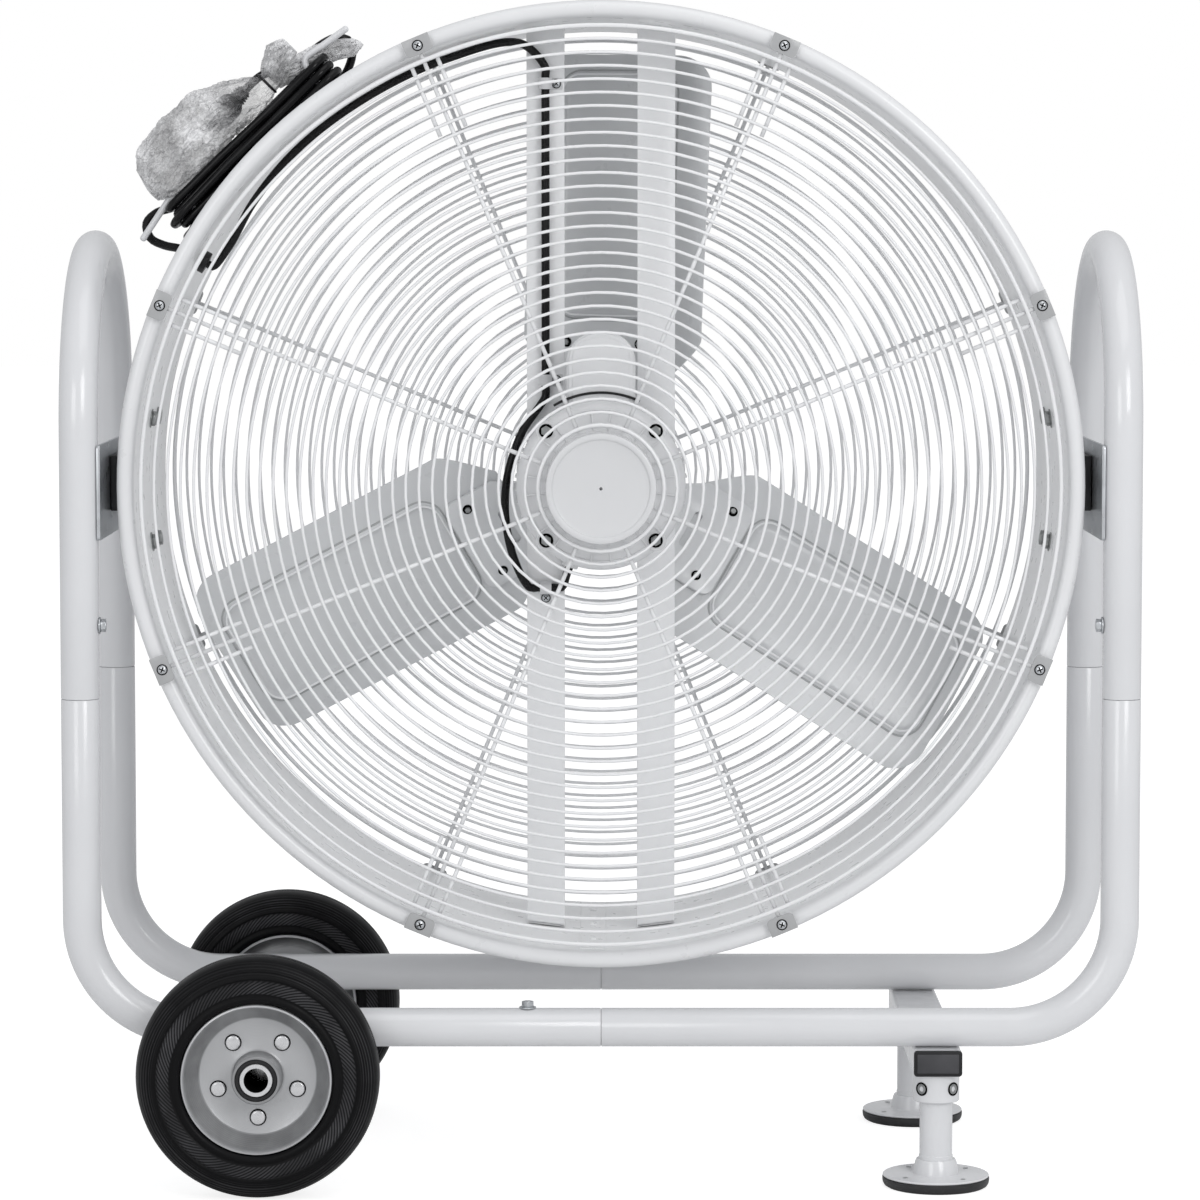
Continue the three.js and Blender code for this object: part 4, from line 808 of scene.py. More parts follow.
def arch():
    rise = ARCH_Z - JOINT_Z - FIT
    return bent_tube(TUBE_R, (POST_X, -TUBE_Y, JOINT_Z + FIT), (0, 0, 1), [
        (0, 0, rise), (-180, (POST_X, 0, ARCH_Z), (1, 0, 0), 64), (0, 0, -rise),
    ]).bevelled(0.8, 2, 60)


ENDS = (("front", -TUBE_Y), ("rear", TUBE_Y))
SIDES = (("right", IDENTITY), ("left", MIRROR_X))
for place, y in ENDS:
    finished(f"bottom_tube_{place}_right", lower_tube(y, True), FRAME_GREY, "frame", f"lower_tube_{place}_right")
    finished(f"bottom_tube_{place}_left", lower_tube(y, False).moved(MIRROR_X), FRAME_GREY, "frame",
             f"lower_tube_{place}_left")
    low = facing((-76, y, TUBE_Z + TUBE_R), (0, 0, 1))
    finished(f"tube_bolt_{place}", hex_bolt(7, 7, 1.5).moved(low), ZINC, "frame", f"frame_bolt_{place}")
    for side, way in (("right", 1), ("left", -1)):
        post = facing((way * (POST_X - TUBE_R), y, JOINT_Z + 76), (-way, 0, 0))
        finished(f"joint_bolt_{place}_{side}", hex_bolt(7, 7, 1.5).moved(post), ZINC, "frame",
                 f"post_bolt_{place}_{side}")
for side, hand in SIDES:
    finished(f"arch_{side}", arch().moved(hand), FRAME_GREY, "frame", f"arch_tube_{side}")

# ---- Side pivots ----
PLATE_OUT = POST_X - TUBE_R * math.cos(math.pi / 10) - FIT
PLATE_THICK = 3.5
PAD_THICK = 10
PAD_IN = PLATE_OUT - PLATE_THICK - FIT - PAD_THICK
BRACKET_FACE = PAD_IN - 0.5
BRACKET_HALF = 75
BRACKET_THICK = 3
BRACKET_BOLTS = [(y, z) for y in (-32, 32) for z in (-65.5, 65.5)]


def pivot_plate():
    body = plate(rounded(195, 49, 4), [arc(0, 5, 7, 0, 330, 11)], PLATE_THICK)
    return body.moved(shift(PLATE_OUT, 0, PIVOT_Z - 5) @ turn(90, "Z"))


def pivot_pad():
    return block(PAD_IN, PAD_IN + PAD_THICK, -97, 97, PIVOT_Z - 29, PIVOT_Z + 29, 1.6, 3)


def pivot_bolt():
    place = facing((PLATE_OUT, 0, PIVOT_Z), (1, 0, 0))
    shape = hex_bolt(11, 8, 1.2).moved(place)
    return shape.add(rod((DRUM_OUT + 4, 0, PIVOT_Z), (PLATE_OUT, 0, PIVOT_Z), 6, 28))


def drum_bracket():
    half = math.degrees(math.asin(BRACKET_HALF / DRUM_OUT))
    shape = arc_strip(DRUM_OUT + FIT, DRUM_OUT + FIT + BRACKET_THICK, -45, 45, -half, half)
    return shape.add(rod((DRUM_OUT + 2, 0, 0), (BRACKET_FACE, 0, 0), 24, 40, bevel=0.8))


def drum_bolts():
    """Hexagon heads inside the drum that hold a bracket, with their nuts outside."""
    shape = Shape()
    for y, z in BRACKET_BOLTS:
        out = Vector((math.sqrt(DRUM_R ** 2 - z ** 2), 0, z)).normalized()
        along = Vector((0, y, 0))
        shape.add(hex_bolt(8, 5, 1.2), facing(out * (DRUM_R - 0.1) + along, -out))
        shape.add(hex_bolt(8, 6, 1.0), facing(out * (DRUM_OUT + BRACKET_THICK + 0.2) + along, out))
    return shape


for side, hand in SIDES:
    finished(f"side_plate_{side}", pivot_plate().moved(hand), ZINC, "frame", f"pivot_plate_{side}")
    finished(f"friction_pad_{side}", pivot_pad().moved(hand), PAD_RUBBER, "frame", f"pivot_pad_{side}")
    finished(f"side_bolt_{side}", pivot_bolt().moved(hand), ZINC, "frame", f"pivot_bolt_{side}")
    on_drum(f"side_bracket_{side}", drum_bracket(), ZINC, f"drum_bracket_{side}", hand=hand)
    on_drum(f"bracket_bolts_{side}", drum_bolts(), DARK_ZINC, hand=hand)

# ---- Axle and wheels ----
RIVET_RING = 42.8
RIM_FACE = -2
RIVET_ANGLES = [-math.pi / 2 + TAU * i / 5 for i in range(5)]
RIVETS = [facing((RIVET_RING * math.cos(a), RIM_FACE, RIVET_RING * math.sin(a)), (0, -1, 0)) for a in RIVET_ANGLES]


def axle():
    shape = turned([(12.6, -270), (16.6, -270), (17.4, -269), (17.4, 269), (16.6, 270), (12.6, 270)], 56)
    for y in (-1, 1):
        shape.add(rod((0, y * 209, 0), (0, y * 205, 0), 23, 40, bevel=0.6))
        shape.add(block(-14, 14, y * TUBE_Y - 15, y * TUBE_Y + 15, 12, 25, 1.0))
    return shape.moved(shift(AXLE_X, 0, AXLE_Z))


def tyre():
    side = [(78, -24), (79, -28), (82, -30), (85.5, -30), (86.5, -28.9), (88.5, -28.9), (89.5, -30), (100.5, -30),
            (101.5, -28.8), (103.5, -28.8), (104.5, -29.8), (109, -29.4), (110, -28.0), (112, -27.7),
            (113, -28.3), (117, -26.2), (121, -21.5), (123.6, -15.5), (124.7, -9)]
    tread = [(125, -7), (124.9, -4.2), (123.7, -3.6), (123.7, -2.4), (125, -1.8)]
    half = side + tread
    return turned(half + [(r, -y) for r, y in reversed(half)], 144)


def rim():
    profile = [(77.6, -26), (77.6, 26), (75.1, 26), (75.1, -5.5), (73.5, -3.5), (62, 0.2), (59.5, 0.5),
               (25, 0.5), (25, 29), (24, 30), (22, 30), (22, -30), (24, -30), (25, -29), (25, -7), (26.5, -3.2),
               (29, RIM_FACE), (59.2, RIM_FACE), (60.6, -2.8), (62.5, -5.5), (72.2, -17), (73.6, -19.5),
               (74.2, -22), (74.4, -26.5), (75.4, -28), (77, -27.6)]
    return turned(profile, 120)


def bush():
    return turned([(17.9, -29.6), (21, -29.6), (21.7, -28.9), (21.7, 28.9), (21, 29.6), (17.9, 29.6)], 56)


finished("axle_pipe", axle(), STEEL, "frame", "wheel_axle")
# A flat black liner inside the axle pipe: painted shade in the bore.
bore = turned([(12.1, -269), (12.6, -269), (12.6, 269), (12.1, 269)], 48)
finished("axle_bore", bore.moved(shift(AXLE_X, 0, AXLE_Z)), SHADE_BLACK, "frame")
for place, hand, y in (("front", IDENTITY, -WHEEL_Y), ("rear", MIRROR_Y, WHEEL_Y)):
    stand = shift(AXLE_X, y, AXLE_Z) @ hand
    body = f"wheel_{place}"
    finished(f"tyre_{place}", tyre().moved(stand), TYRE_BLACK, body, f"wheel_tyre_{place}", sharp=50)
    finished(f"rim_{place}", rim().moved(stand), RIM_GREY, body, f"wheel_rim_{place}")
    finished(f"bush_{place}", bush().moved(stand), BLACK, body, f"wheel_bush_{place}")
    head = rod((0, 0, 0), (0, 0, 3.2), 7.9, 36, 7.2, 0.6)
    finished(f"rim_rivets_{place}", copies(head, RIVETS).moved(stand), STEEL, body)
    # Flat black rings under the rivet heads: painted shade round each head.
    seat = rod((0, 0, 0), (0, 0, 0.5), 8.7, 36)
    finished(f"rivet_shade_rings_{place}", copies(seat, RIVETS).moved(stand), SHADE_BLACK, body)

# ---- Feet and their cross bar ----
BAR_TOP = TUBE_Z - TUBE_R - FIT
BAR_X, BAR_Z, BAR_WALL = 25, 13.5, 2
BAR_LOW = BAR_TOP - 2 * BAR_Z
COLLAR_LOW = BAR_LOW - 29
BAR_END = TUBE_Y + 24
LEG_TOP = BAR_TOP - 2.3
PLATE_LOW = 10.3
CLAMP_TURN = 43


def crossbar():
    inner = rounded(BAR_X - BAR_WALL, BAR_Z - BAR_WALL, 2.5)
    tube = plate(rounded(BAR_X, BAR_Z, 4), [inner], 2 * BAR_END, 0)
    shape = tube.moved(shift(0, -BAR_END, BAR_TOP - BAR_Z))
    collar = turned([(17.5, 0), (23, 0), (24, 1), (24, 29), (17.5, 29)], 56)
    for _, y in ENDS:
        shape.add(collar, shift(0, y, COLLAR_LOW) @ ON_END)
    return shape.moved(shift(FOOT_X))


def on_collar(y, degrees):
    """Stands a shape made along +Y on a foot's collar, pointing away from the bar's middle."""
    angle = math.radians(degrees)
    way = Vector((math.sin(angle), math.copysign(math.cos(angle), y), 0))
    return facing(way * 17.3 + Vector((FOOT_X, y, COLLAR_LOW + 14.5)), way) @ ON_END


def set_screw():
    profile = [(0, 0), (5.5, 0), (5.5, 6.8), (4.9, 7.4), (3.1, 7.4), (2.8, 7.0), (2.8, 3.6), (0, 3.2)]
    return turned(profile, 30, False)


def screw_seat():
    """The rim and socket of a clamp screw in flat black: painted shade round the head and in the socket."""
    shape = turned([(5.6, 6.1), (7.1, 6.1), (7.1, 7.1), (5.6, 7.1)], 32)
    return shape.add(rod((0, 3.0, 0), (0, 5.4, 0), 2.9, 6))


def leg():
    base = PLATE_LOW
    profile = [(0, base), (54, base), (55, base + 0.8), (55, base + 1.8), (54.2, base + 2.5), (26, base + 2.5),
               (24, base + 3.2), (21.5, base + 15), (20.2, base + 18), (17.6, base + 18.4), (17.6, base + 22),
               (17, base + 22.6), (17, LEG_TOP - 1), (16, LEG_TOP), (0, LEG_TOP)]
    return turned(profile, 72, False)


def foot_pad():
    profile = [(0, 0), (51, 0), (53.5, 1.5), (55, 4), (55.5, 7), (55.5, 9.2), (54.7, 10), (0, 10)]
    return turned(profile, 72, False)


def plate_screws():
    """The small countersunk screws that hold a foot's plate to its pad."""
    angles = [math.radians(38 + 90 * k) for k in range(4)]
    places = [shift(42 * math.cos(a), PLATE_LOW + 2.3, -42 * math.sin(a)) for a in angles]
    return copies(rod((0, 0, 0), (0, 0.5, 0), 2.6, 20), places)


def bar_cap(y, face):
    """A push-in cap: its dark border just over the bar's end, or the raised face within it."""
    if face:
        shape = block(-21.4, 21.4, 3.4, 4.9, -9.9, 9.9, 0.9, 2)
    else:
        shape = prism(rounded(BAR_X, BAR_Z, 3.5), 4, 0).bevelled(1.2, 2, 60)
    hand = IDENTITY if y > 0 else MIRROR_Y
    return shape.moved(shift(FOOT_X, math.copysign(BAR_END + FIT, y), BAR_TOP - BAR_Z) @ hand)


finished("cross_bar", crossbar(), FRAME_GREY, "frame", "foot_crossbar")
for place, y in ENDS:
    body = f"foot_{place}"
    stand = shift(FOOT_X, y) @ ON_END
    finished(f"bar_cap_{place}", bar_cap(y, False), BLACK, "frame", f"crossbar_cap_{place}")
    finished(f"bar_cap_face_{place}", bar_cap(y, True), CAP_BLACK, "frame")
    finished(f"leg_{place}", leg().moved(stand), FRAME_GREY, body, f"foot_leg_{place}")
    finished(f"pad_{place}", foot_pad().moved(stand), PAD_RUBBER, body, f"foot_pad_{place}")
    finished(f"plate_screws_{place}", plate_screws().moved(stand), DARK_ZINC, body)
    for side, degrees in (("left", -CLAMP_TURN), ("right", CLAMP_TURN)):
        spot = on_collar(y, degrees)
        finished(f"clamp_screw_{place}_{side}", set_screw().moved(spot), DARK_ZINC, "frame",
                 f"set_screw_{place}_{side}")
        finished(f"clamp_shade_{place}_{side}", screw_seat().moved(spot), SHADE_BLACK, "frame")


# ---- Drum ----
def drum_wall():
    end = DRUM_HALF - BEAD_R
    roll = arc(BEAD_AT, end, BEAD_R, 180, -146, 22)
    return turned(roll + [(r, -y) for r, y in reversed(roll)], 160)


def wall_seam():
    """The overlap where the drum's sheet is joined, with its row of rivets inside."""
    shape = arc_strip(DRUM_R - 1.2, DRUM_R - 0.1, -172, 172, -92.6, -89.4)
    out = direction(math.radians(-91))
    for k in range(7):
        shape.add(dome(4, 1.8), facing(out * (DRUM_R - 1.2) + Vector((0, -156 + 52 * k, 0)), -out))
    return shape


on_drum("drum_wall", drum_wall(), DRUM_WHITE, "drum_shell", sharp=60)
on_drum("drum_seam", wall_seam(), DRUM_WHITE)

# ---- Grilles ----
GRILLE_IN = 64.7
GRILLE_PITCH = 13.59
RINGS = 31
SPOKES = 8
SPOKE_WIRE = 2.2
SHORT_WIRE = 78
SHORT_ASIDE = 14
RING_WIRE = 1.6
EDGE_WIRE = 2.3
SPOKE_Y = DRUM_HALF + FIT + SPOKE_WIRE
RING_Y = SPOKE_Y + SPOKE_WIRE + RING_WIRE - 0.3
GRILLE_OUT = GRILLE_IN + GRILLE_PITCH * (RINGS - 1)
SPOKE_TURNS = [turn(-(k + 0.5) * 360 / SPOKES, "Y") for k in range(SPOKES)]
CLIP_FACES = [place @ shift(BEAD_AT - 1, -SPOKE_Y - SPOKE_WIRE - 2) for place in SPOKE_TURNS]
CLIP_SCREWS = [place @ TO_FRONT for place in CLIP_FACES]


def grille(short_wires):
    shape = Shape()
    for i in range(RINGS):
        radius = GRILLE_IN + GRILLE_PITCH * i
        wire = EDGE_WIRE if i in (0, RINGS - 1) else RING_WIRE
        shape.add(wire_ring(radius, wire, -RING_Y, max(40, round(radius / 3)), 8))
    spoke = rod((GRILLE_IN - 2, -SPOKE_Y, 0), (BEAD_AT + 4, -SPOKE_Y, 0), SPOKE_WIRE, 12)
    for side in (-SHORT_ASIDE, SHORT_ASIDE) if short_wires else ():
        inner = (GRILLE_OUT - SHORT_WIRE, -SPOKE_Y, side)
        spoke.add(rod(inner, (GRILLE_OUT + 2, -SPOKE_Y, side), SPOKE_WIRE, 12))
    return shape.add(copies(spoke, SPOKE_TURNS))


def clip_plate():
    """A small plate on the drum's edge, rounded towards the middle."""
    half_x, half_z, corner = 9, 14.5, 5
    outline = arc(corner - half_x, corner - half_z, corner, 270, 180, 5)
    outline += arc(corner - half_x, half_z - corner, corner, 180, 90, 5)
    return plate(outline + [(half_x, half_z), (half_x, -half_z)], [], 2, 0.5)


for place, hand in (("front", IDENTITY), ("rear", MIRROR_Y)):
    on_drum(f"grille_wires_{place}", grille(place == "front"), WIRE_WHITE, f"{place}_grille", hand=hand, sharp=180)
    on_drum(f"grille_clips_{place}", copies(clip_plate(), CLIP_FACES), CLIP_GREY, hand=hand)
    on_drum(f"grille_screws_{place}", copies(pan_screw(4.9), CLIP_SCREWS), ZINC, hand=hand)
    on_drum(f"grille_crosses_{place}", copies(cross_mark(4.9), CLIP_SCREWS), SHADE_BLACK, hand=hand)

# ---- Struts across the drum ----
STRUT_X = 58.5
STRUT_Y = -28
STRUT_WALL = 2


def strut():
    """An open channel whose ends follow the wall, with a riveted foot at each end."""
    half, deep, wall = 20, 20, STRUT_WALL
    outline = [(-half, 0), (half, 0), (half, deep), (half - wall, deep), (half - wall, wall),
               (-half + wall, wall), (-half + wall, deep), (-half, deep)]
    shape = prism(outline, 980, 0).moved(shift(0, 0, 490) @ turn(-90, "X"))
    bm = shape.bm
    slope = math.asin(STRUT_X / DRUM_R)
    feet = []
    for way in (-1, 1):
        normal = Vector((math.sin(slope), 0, way * math.cos(slope)))
        at = Vector((0, 0, way * (math.sqrt(DRUM_R ** 2 - STRUT_X ** 2) - 1.4)))
        cut = bmesh.ops.bisect_plane(bm, geom=[*bm.verts, *bm.edges, *bm.faces], dist=1e-4, plane_co=at,
                                     plane_no=normal, clear_outer=True)["geom_cut"]
        bmesh.ops.holes_fill(bm, edges=[g for g in cut if isinstance(g, bmesh.types.BMEdge)])
        feet.append((at, normal, way))
    shape.clean().bevelled(0.7, 2, 60)
    for at, normal, way in feet:
        foot = block(-half, half, 0, 34, -1.5, 1.5, 0.5)
        shape.add(foot, Matrix.Translation(at - normal * 1.5) @ turn(math.degrees(slope) * way, "Y"))
        for x in (-10, 10):
            spot = at - normal * 3 + Vector((x * math.cos(slope), 27, -x * math.sin(slope) * way))
            shape.add(dome(3.5, 1.6), facing(spot, -normal))
    return shape.moved(shift(STRUT_X, STRUT_Y, 0))


right_strut = strut().add(dome(3.2, 1.2), facing((48, STRUT_Y, 119), (0, -1, 0)))
on_drum("right_strut", right_strut, STRUT_WHITE, "strut_right")
on_drum("left_strut", strut(), STRUT_WHITE, "strut_left", hand=MIRROR_X)

# ---- Cable from the gland to the motor ----
CABLE_R = 5.75
DRAWN_CABLE_R = 4.4
CABLE_Y = STRUT_Y - STRUT_WALL - CABLE_R - FIT
MOTOR_R = 88
CLIP_HALF = 6
CLIP_SPOTS = (((-STRUT_X, CABLE_Y, DRUM_R - 63), (0, 0, 1)), ((-STRUT_X, CABLE_Y, MOTOR_R + 18), (0, 0, 1)),
              ((-STRUT_X, CABLE_Y, -MOTOR_R - 26), (1, 0, 0)))
WALL_FACE = DRUM_R * math.cos(math.pi / 36)
INLET_ANGLE = math.radians(-110)


def lifted(x, y, z):
    return Vector((x, y, z + PIVOT_Z))


def wall_point(degrees, y, inset=CABLE_R + 3):
    return round_drum(DRUM_R - inset, math.radians(degrees), y)


def through_clip(spot, way):
    at, along = spot
    return [lifted(*at) + Vector(along) * (way * step * CLIP_HALF * 1.4) for step in (-2, -1, 1, 2)]


def at_inlet(reach):
    return round_drum(reach, INLET_ANGLE, CABLE_Y)


cable_line = smooth_line([
    on_gland(WALL_FACE - 7 - FIT), on_gland(WALL_FACE - 13), wall_point(147.5, LINE_Y, 19),
    wall_point(141, LINE_Y + 1, 13), wall_point(132, -60), wall_point(121, -52), wall_point(110, -44),
    wall_point(100.5, -39, 13), *through_clip(CLIP_SPOTS[0], -1),
    lifted(-STRUT_X, CABLE_Y, (DRUM_R + MOTOR_R) / 2 - 22), *through_clip(CLIP_SPOTS[1], -1),
    lifted(-MOTOR_R + 4, CABLE_Y - 6, 50), lifted(-MOTOR_R - 13, CABLE_Y - 8, -10),
    lifted(-MOTOR_R - 7, CABLE_Y - 5, -74), *through_clip(CLIP_SPOTS[2], 1),
    at_inlet(MOTOR_R + 18), at_inlet(MOTOR_R + 10 + FIT),
], 4)
cable("inner_cable", cable_line, DRAWN_CABLE_R, CORD_BLACK, "drum", "motor_cable")


def cable_clips():
    """Pale bands round the cable, each on a tab that lies on the strut."""
    shape = Shape()
    band = turned([(6.1, -6), (7.3, -6), (7.3, 6), (6.1, 6)], 40)
    tab = block(4, 18, -8.1, -6.7, -6, 6, 0.5)
    for at, along in CLIP_SPOTS:
        aside = turn(90, "Y") if along[0] else IDENTITY
        shape.add(band, Matrix.Translation(lifted(*at)) @ aside @ ON_END)
        shape.add(tab, Matrix.Translation(lifted(at[0], STRUT_Y + 6.7, at[2])) @ aside)
    return shape


TAB_SCREWS = [facing(lifted(at[0], STRUT_Y - 1.5, at[2]) + Vector((0, 0, -11.5) if along[0] else (11.5, 0, 0)),
                     (0, -1, 0)) for at, along in CLIP_SPOTS]
finished("cable_clips", cable_clips(), CAP_GREY, "drum")
finished("cable_clip_screws", copies(pan_screw(4.3), TAB_SCREWS), ZINC, "drum")
finished("cable_clip_crosses", copies(cross_mark(4.3), TAB_SCREWS), SHADE_BLACK, "drum")

# ---- Motor ----
MOTOR_BACK = STRUT_Y - FIT
MOTOR_FRONT = MOTOR_BACK - 120
CAP_FRONT = MOTOR_FRONT - 62
LUGS = [(x, z) for x in (-56.8, 56.8) for z in (-56.8, 56.8)]
LUG_SCREWS = [facing((x, MOTOR_FRONT - 0.8, z), (0, -1, 0)) for x, z in LUGS]
BOX_FRONT = (MOTOR_FRONT + MOTOR_BACK) / 2 - 26
BOX_TOP = MOTOR_R * 0.7 + 98


def motor_body():
    f, b = MOTOR_FRONT, MOTOR_BACK
    profile = [(0, f + 6), (51, f + 6), (51, f + 0.8), (52, f), (57.5, f), (58, f + 1.6), (78, f + 1.6), (78.6, f),
               (80.5, f), (83, f + 1.4), (86.4, f + 5), (88, f + 9), (88, b - 12), (86, b - 8), (82, b - 6),
               (32, b - 1), (30, b), (0, b)]
    shape = turned(profile, 120, False)
    rib = block(57, 79, f - 0.4, f + 2, -0.9, 0.9, 0.4)
    shape.add(copies(rib, [turn((k + 0.5) * 15, "Y") for k in range(24)]))
    fin = block(86, 90.4, f + 44, b - 16, -0.9, 0.9, 0.4)
    angles = [(k + 0.5) * 9 for k in range(40)]
    shape.add(copies(fin, [turn(-angle, "Y") for angle in angles if not 60 < angle < 120]))
    for x, z in LUGS:
        shape.add(rod((x, f + 1, z), (x, b, z), 11, 40, bevel=1.2))
    inlet = [at_inlet(reach) - lifted(0, 0, 0) for reach in (MOTOR_R + 10, MOTOR_R - 8)]
    return shape.add(rod(*inlet, CABLE_R + 3, 28, bevel=0.8))


def round_cap():
    f, back = CAP_FRONT, MOTOR_FRONT - FIT
    profile = [(0, back), (53, back), (53, f + 16), (56, f + 14), (57, f + 11), (57, f + 2.4), (56.2, f + 0.6),
               (54.6, f), (51.8, f), (50.6, f + 0.6), (49.6, f + 2.2), (47, f + 3), (1.7, f + 3.4), (1.5, f + 9),
               (0, f + 9)]
    return turned(profile, 128, False)


def box_arch(half, low, crown, top):
    return [(half, low)] + [(half * math.cos(math.radians(a)), top - crown + crown * math.sin(math.radians(a)))
                            for a in range(0, 181, 6)] + [(-half, low)]


def start_box():
    """The arched box over the motor, with a raised lid that has a rolled border."""
    shape = Shape()
    layers = ((0, 2.6, 49.4, 32, 2.4), (2.2, 0, 4, 31, 1.4), (6.5, -1.6, 3, 27, 0.8))
    for inset, start, deep, crown, bevel in layers:
        outline = box_arch(36 - inset, MOTOR_R - 10, crown - inset, BOX_TOP - inset)
        shape.add(prism(outline, deep, bevel), shift(0, BOX_FRONT + start, 0))
    return shape


def seal_strip():
    """The black edge of the seal between the box and the motor."""
    return arc_strip(MOTOR_R + 6.2, MOTOR_R + 8.8, BOX_FRONT - 4, BOX_FRONT + 3, 65, 121, 30, 0.4)


on_drum("motor_body", motor_body(), MOTOR_GREY, "motor")
# Washers under the motor's screws in flat black: painted shade round the heads.
on_drum("motor_washers", copies(rod((0, 0, -1.8), (0, 0, 0), 7.4, 36, bevel=0.3), LUG_SCREWS), SHADE_BLACK)
on_drum("motor_screws", copies(hex_bolt(5.6, 3.4), LUG_SCREWS), DARK_ZINC)
on_drum("round_cap", round_cap(), CAP_GREY, "motor_cap")
on_drum("start_box", start_box(), MOTOR_GREY, "capacitor_box")
on_drum("seal_strip", seal_strip(), BLACK)

# ---- Rotor ----
HUB_Y = 62
BLADE_TURN = 88.7
BLADE_ROOT = 126
BLADE_NECK = 96
BLADE_LEAD, BLADE_TRAIL = 88, 102
PANEL = (302, -7, 129, 59, 20)
BLADE_TIP = DRUM_R - 29
ARM_END = 166
ARM_HALF = 2.5
PITCH = 25
BLADES = [turn(-(BLADE_TURN + 120 * k), "Y") @ shift(0, HUB_Y) @ turn(-PITCH, "X") for k in range(3)]
BLADE_BOLTS = [place @ facing((143, -ARM_HALF, z), (0, -1, 0)) for place in BLADES for z in (-43, 43)]


def blade():
    """A curved sheet with rounded outer corners, a tapered root and a pressed panel, before its pitch."""
    shape = Shape()
    bm = shape.bm
    bmesh.ops.create_grid(bm, x_segments=150, y_segments=88, size=1)
    corner, lead, trail = 34, BLADE_LEAD, BLADE_TRAIL
    for vert in bm.verts:
        u, v = vert.co.x, vert.co.y
        r = (BLADE_NECK + BLADE_TIP) / 2 + (BLADE_TIP - BLADE_NECK) / 2 * math.sin(u * math.pi / 2)
        inset = max(corner - (BLADE_TIP - r), 0)
        trim = corner - math.sqrt(max(corner ** 2 - inset ** 2, 0))
        taper = max(BLADE_ROOT + 22 - r, 0)
        trim += taper * 1.02 - 8 * (1 - math.exp(-taper / 12)) if taper else 0
        low, high = -trail + trim, lead - trim * 0.9
        t = low + (high - low) * (v + 1) / 2
        bend = blade_bend(r, t)
        edge = panel_edge(r, t)
        ridge = 3.2 * math.exp(-((edge / 2.6) ** 2))
        sunk = 3.0 * min(max(-edge / 3, 0), 1)
        vert.co = (r, ARM_HALF + FIT + bend - ridge + sunk, t / math.cos(math.radians(PITCH)))
    bm.normal_update()
    bmesh.ops.solidify(bm, geom=list(bm.faces), thickness=2)
    return shape.clean()


def blade_bend(r, t):
    """How far a blade's sheet curves back at a point."""
    flat = (2 * t - BLADE_LEAD + BLADE_TRAIL) / (BLADE_LEAD + BLADE_TRAIL)
    return max(14 * flat ** 2 * (r - ARM_END) / (BLADE_TIP - ARM_END), 0)


def panel_edge(r, t):
    """How far a point of a blade is outside the pressed panel's rounded outline; inside is below 0."""
    middle_r, middle_t, half_r, half_t, corner = PANEL
    dx = abs(r - middle_r) - (half_r - corner)
    dz = abs(t - middle_t) - (half_t - corner)
    outside = math.hypot(max(dx, 0), max(dz, 0))
    return outside + min(max(dx, dz), 0) - corner


def panel_line(out, rise, radius):
    """A bead along the pressed panel's outline, some way outside it and in front of the sheet."""
    middle_r, middle_t, half_r, half_t, corner = PANEL
    line = rounded(half_r + out, half_t + out, corner + out, 10, (middle_r, middle_t))
    points = []
    for (r0, t0), (r1, t1) in neighbours(line):
        parts = max(1, round(math.hypot(r1 - r0, t1 - t0) / 12))
        points += [(r0 + (r1 - r0) * k / parts, t0 + (t1 - t0) * k / parts) for k in range(parts)]
    shape = Shape()
    bm = shape.bm
    sides = 8
    slope = math.cos(math.radians(PITCH))
    rings = []
    for k, (r, t) in enumerate(points):
        (ra, ta), (rb, tb) = points[k - 1], points[(k + 1) % len(points)]
        long = math.hypot(rb - ra, tb - ta)
        side_r, side_t = (tb - ta) / long, (ra - rb) / long
        ring = []
        for m in range(sides):
            angle = TAU * m / sides
            wide, deep = radius * math.cos(angle), radius * math.sin(angle)
            y = ARM_HALF + FIT + blade_bend(r, t) - rise + deep
            ring.append(bm.verts.new((r + side_r * wide, y, (t + side_t * wide) / slope)))
        rings.append(ring)
    skinned(bm, rings, True)
    return shape.clean()


def spider_arm():
    half = 58
    outline = [(12, -22), (64, -30), (ARM_END - 60, -half)]
    outline += arc(ARM_END - 12, -half + 12, 12, -90, 0, 6) + arc(ARM_END - 12, half - 12, 12, 0, 90, 6)
    outline += [(ARM_END - 60, half), (64, 30), (12, 22)]
    slot = arc(113, 18, 4.6, 0, 180, 8) + arc(113, -18, 4.6, 180, 360, 8)
    return plate(outline, [slot], 2 * ARM_HALF, 0.6).moved(shift(0, -ARM_HALF))


def spider():
    shape = rod((0, HUB_Y - 22, 0), (0, HUB_Y + 22, 0), 30, 64, bevel=1.5)
    shape.add(rod((0, HUB_Y - 4, 0), (0, HUB_Y + 4, 0), 44, 64, bevel=1.0))
    return shape.add(copies(spider_arm(), BLADES))


shaft = rod((0, MOTOR_BACK - 38, 0), (0, HUB_Y + 28, 0), 9.5, 48, bevel=0.8)
on_drum("drive_shaft", shaft, STEEL, "motor_shaft", body="rotor")
on_drum("blade_spider", spider(), SPIDER_GREY, "hub_spider", body="rotor")
on_drum("blade_bolts", copies(hex_bolt(3.4, 3.2), BLADE_BOLTS), DARK_ZINC, body="rotor")
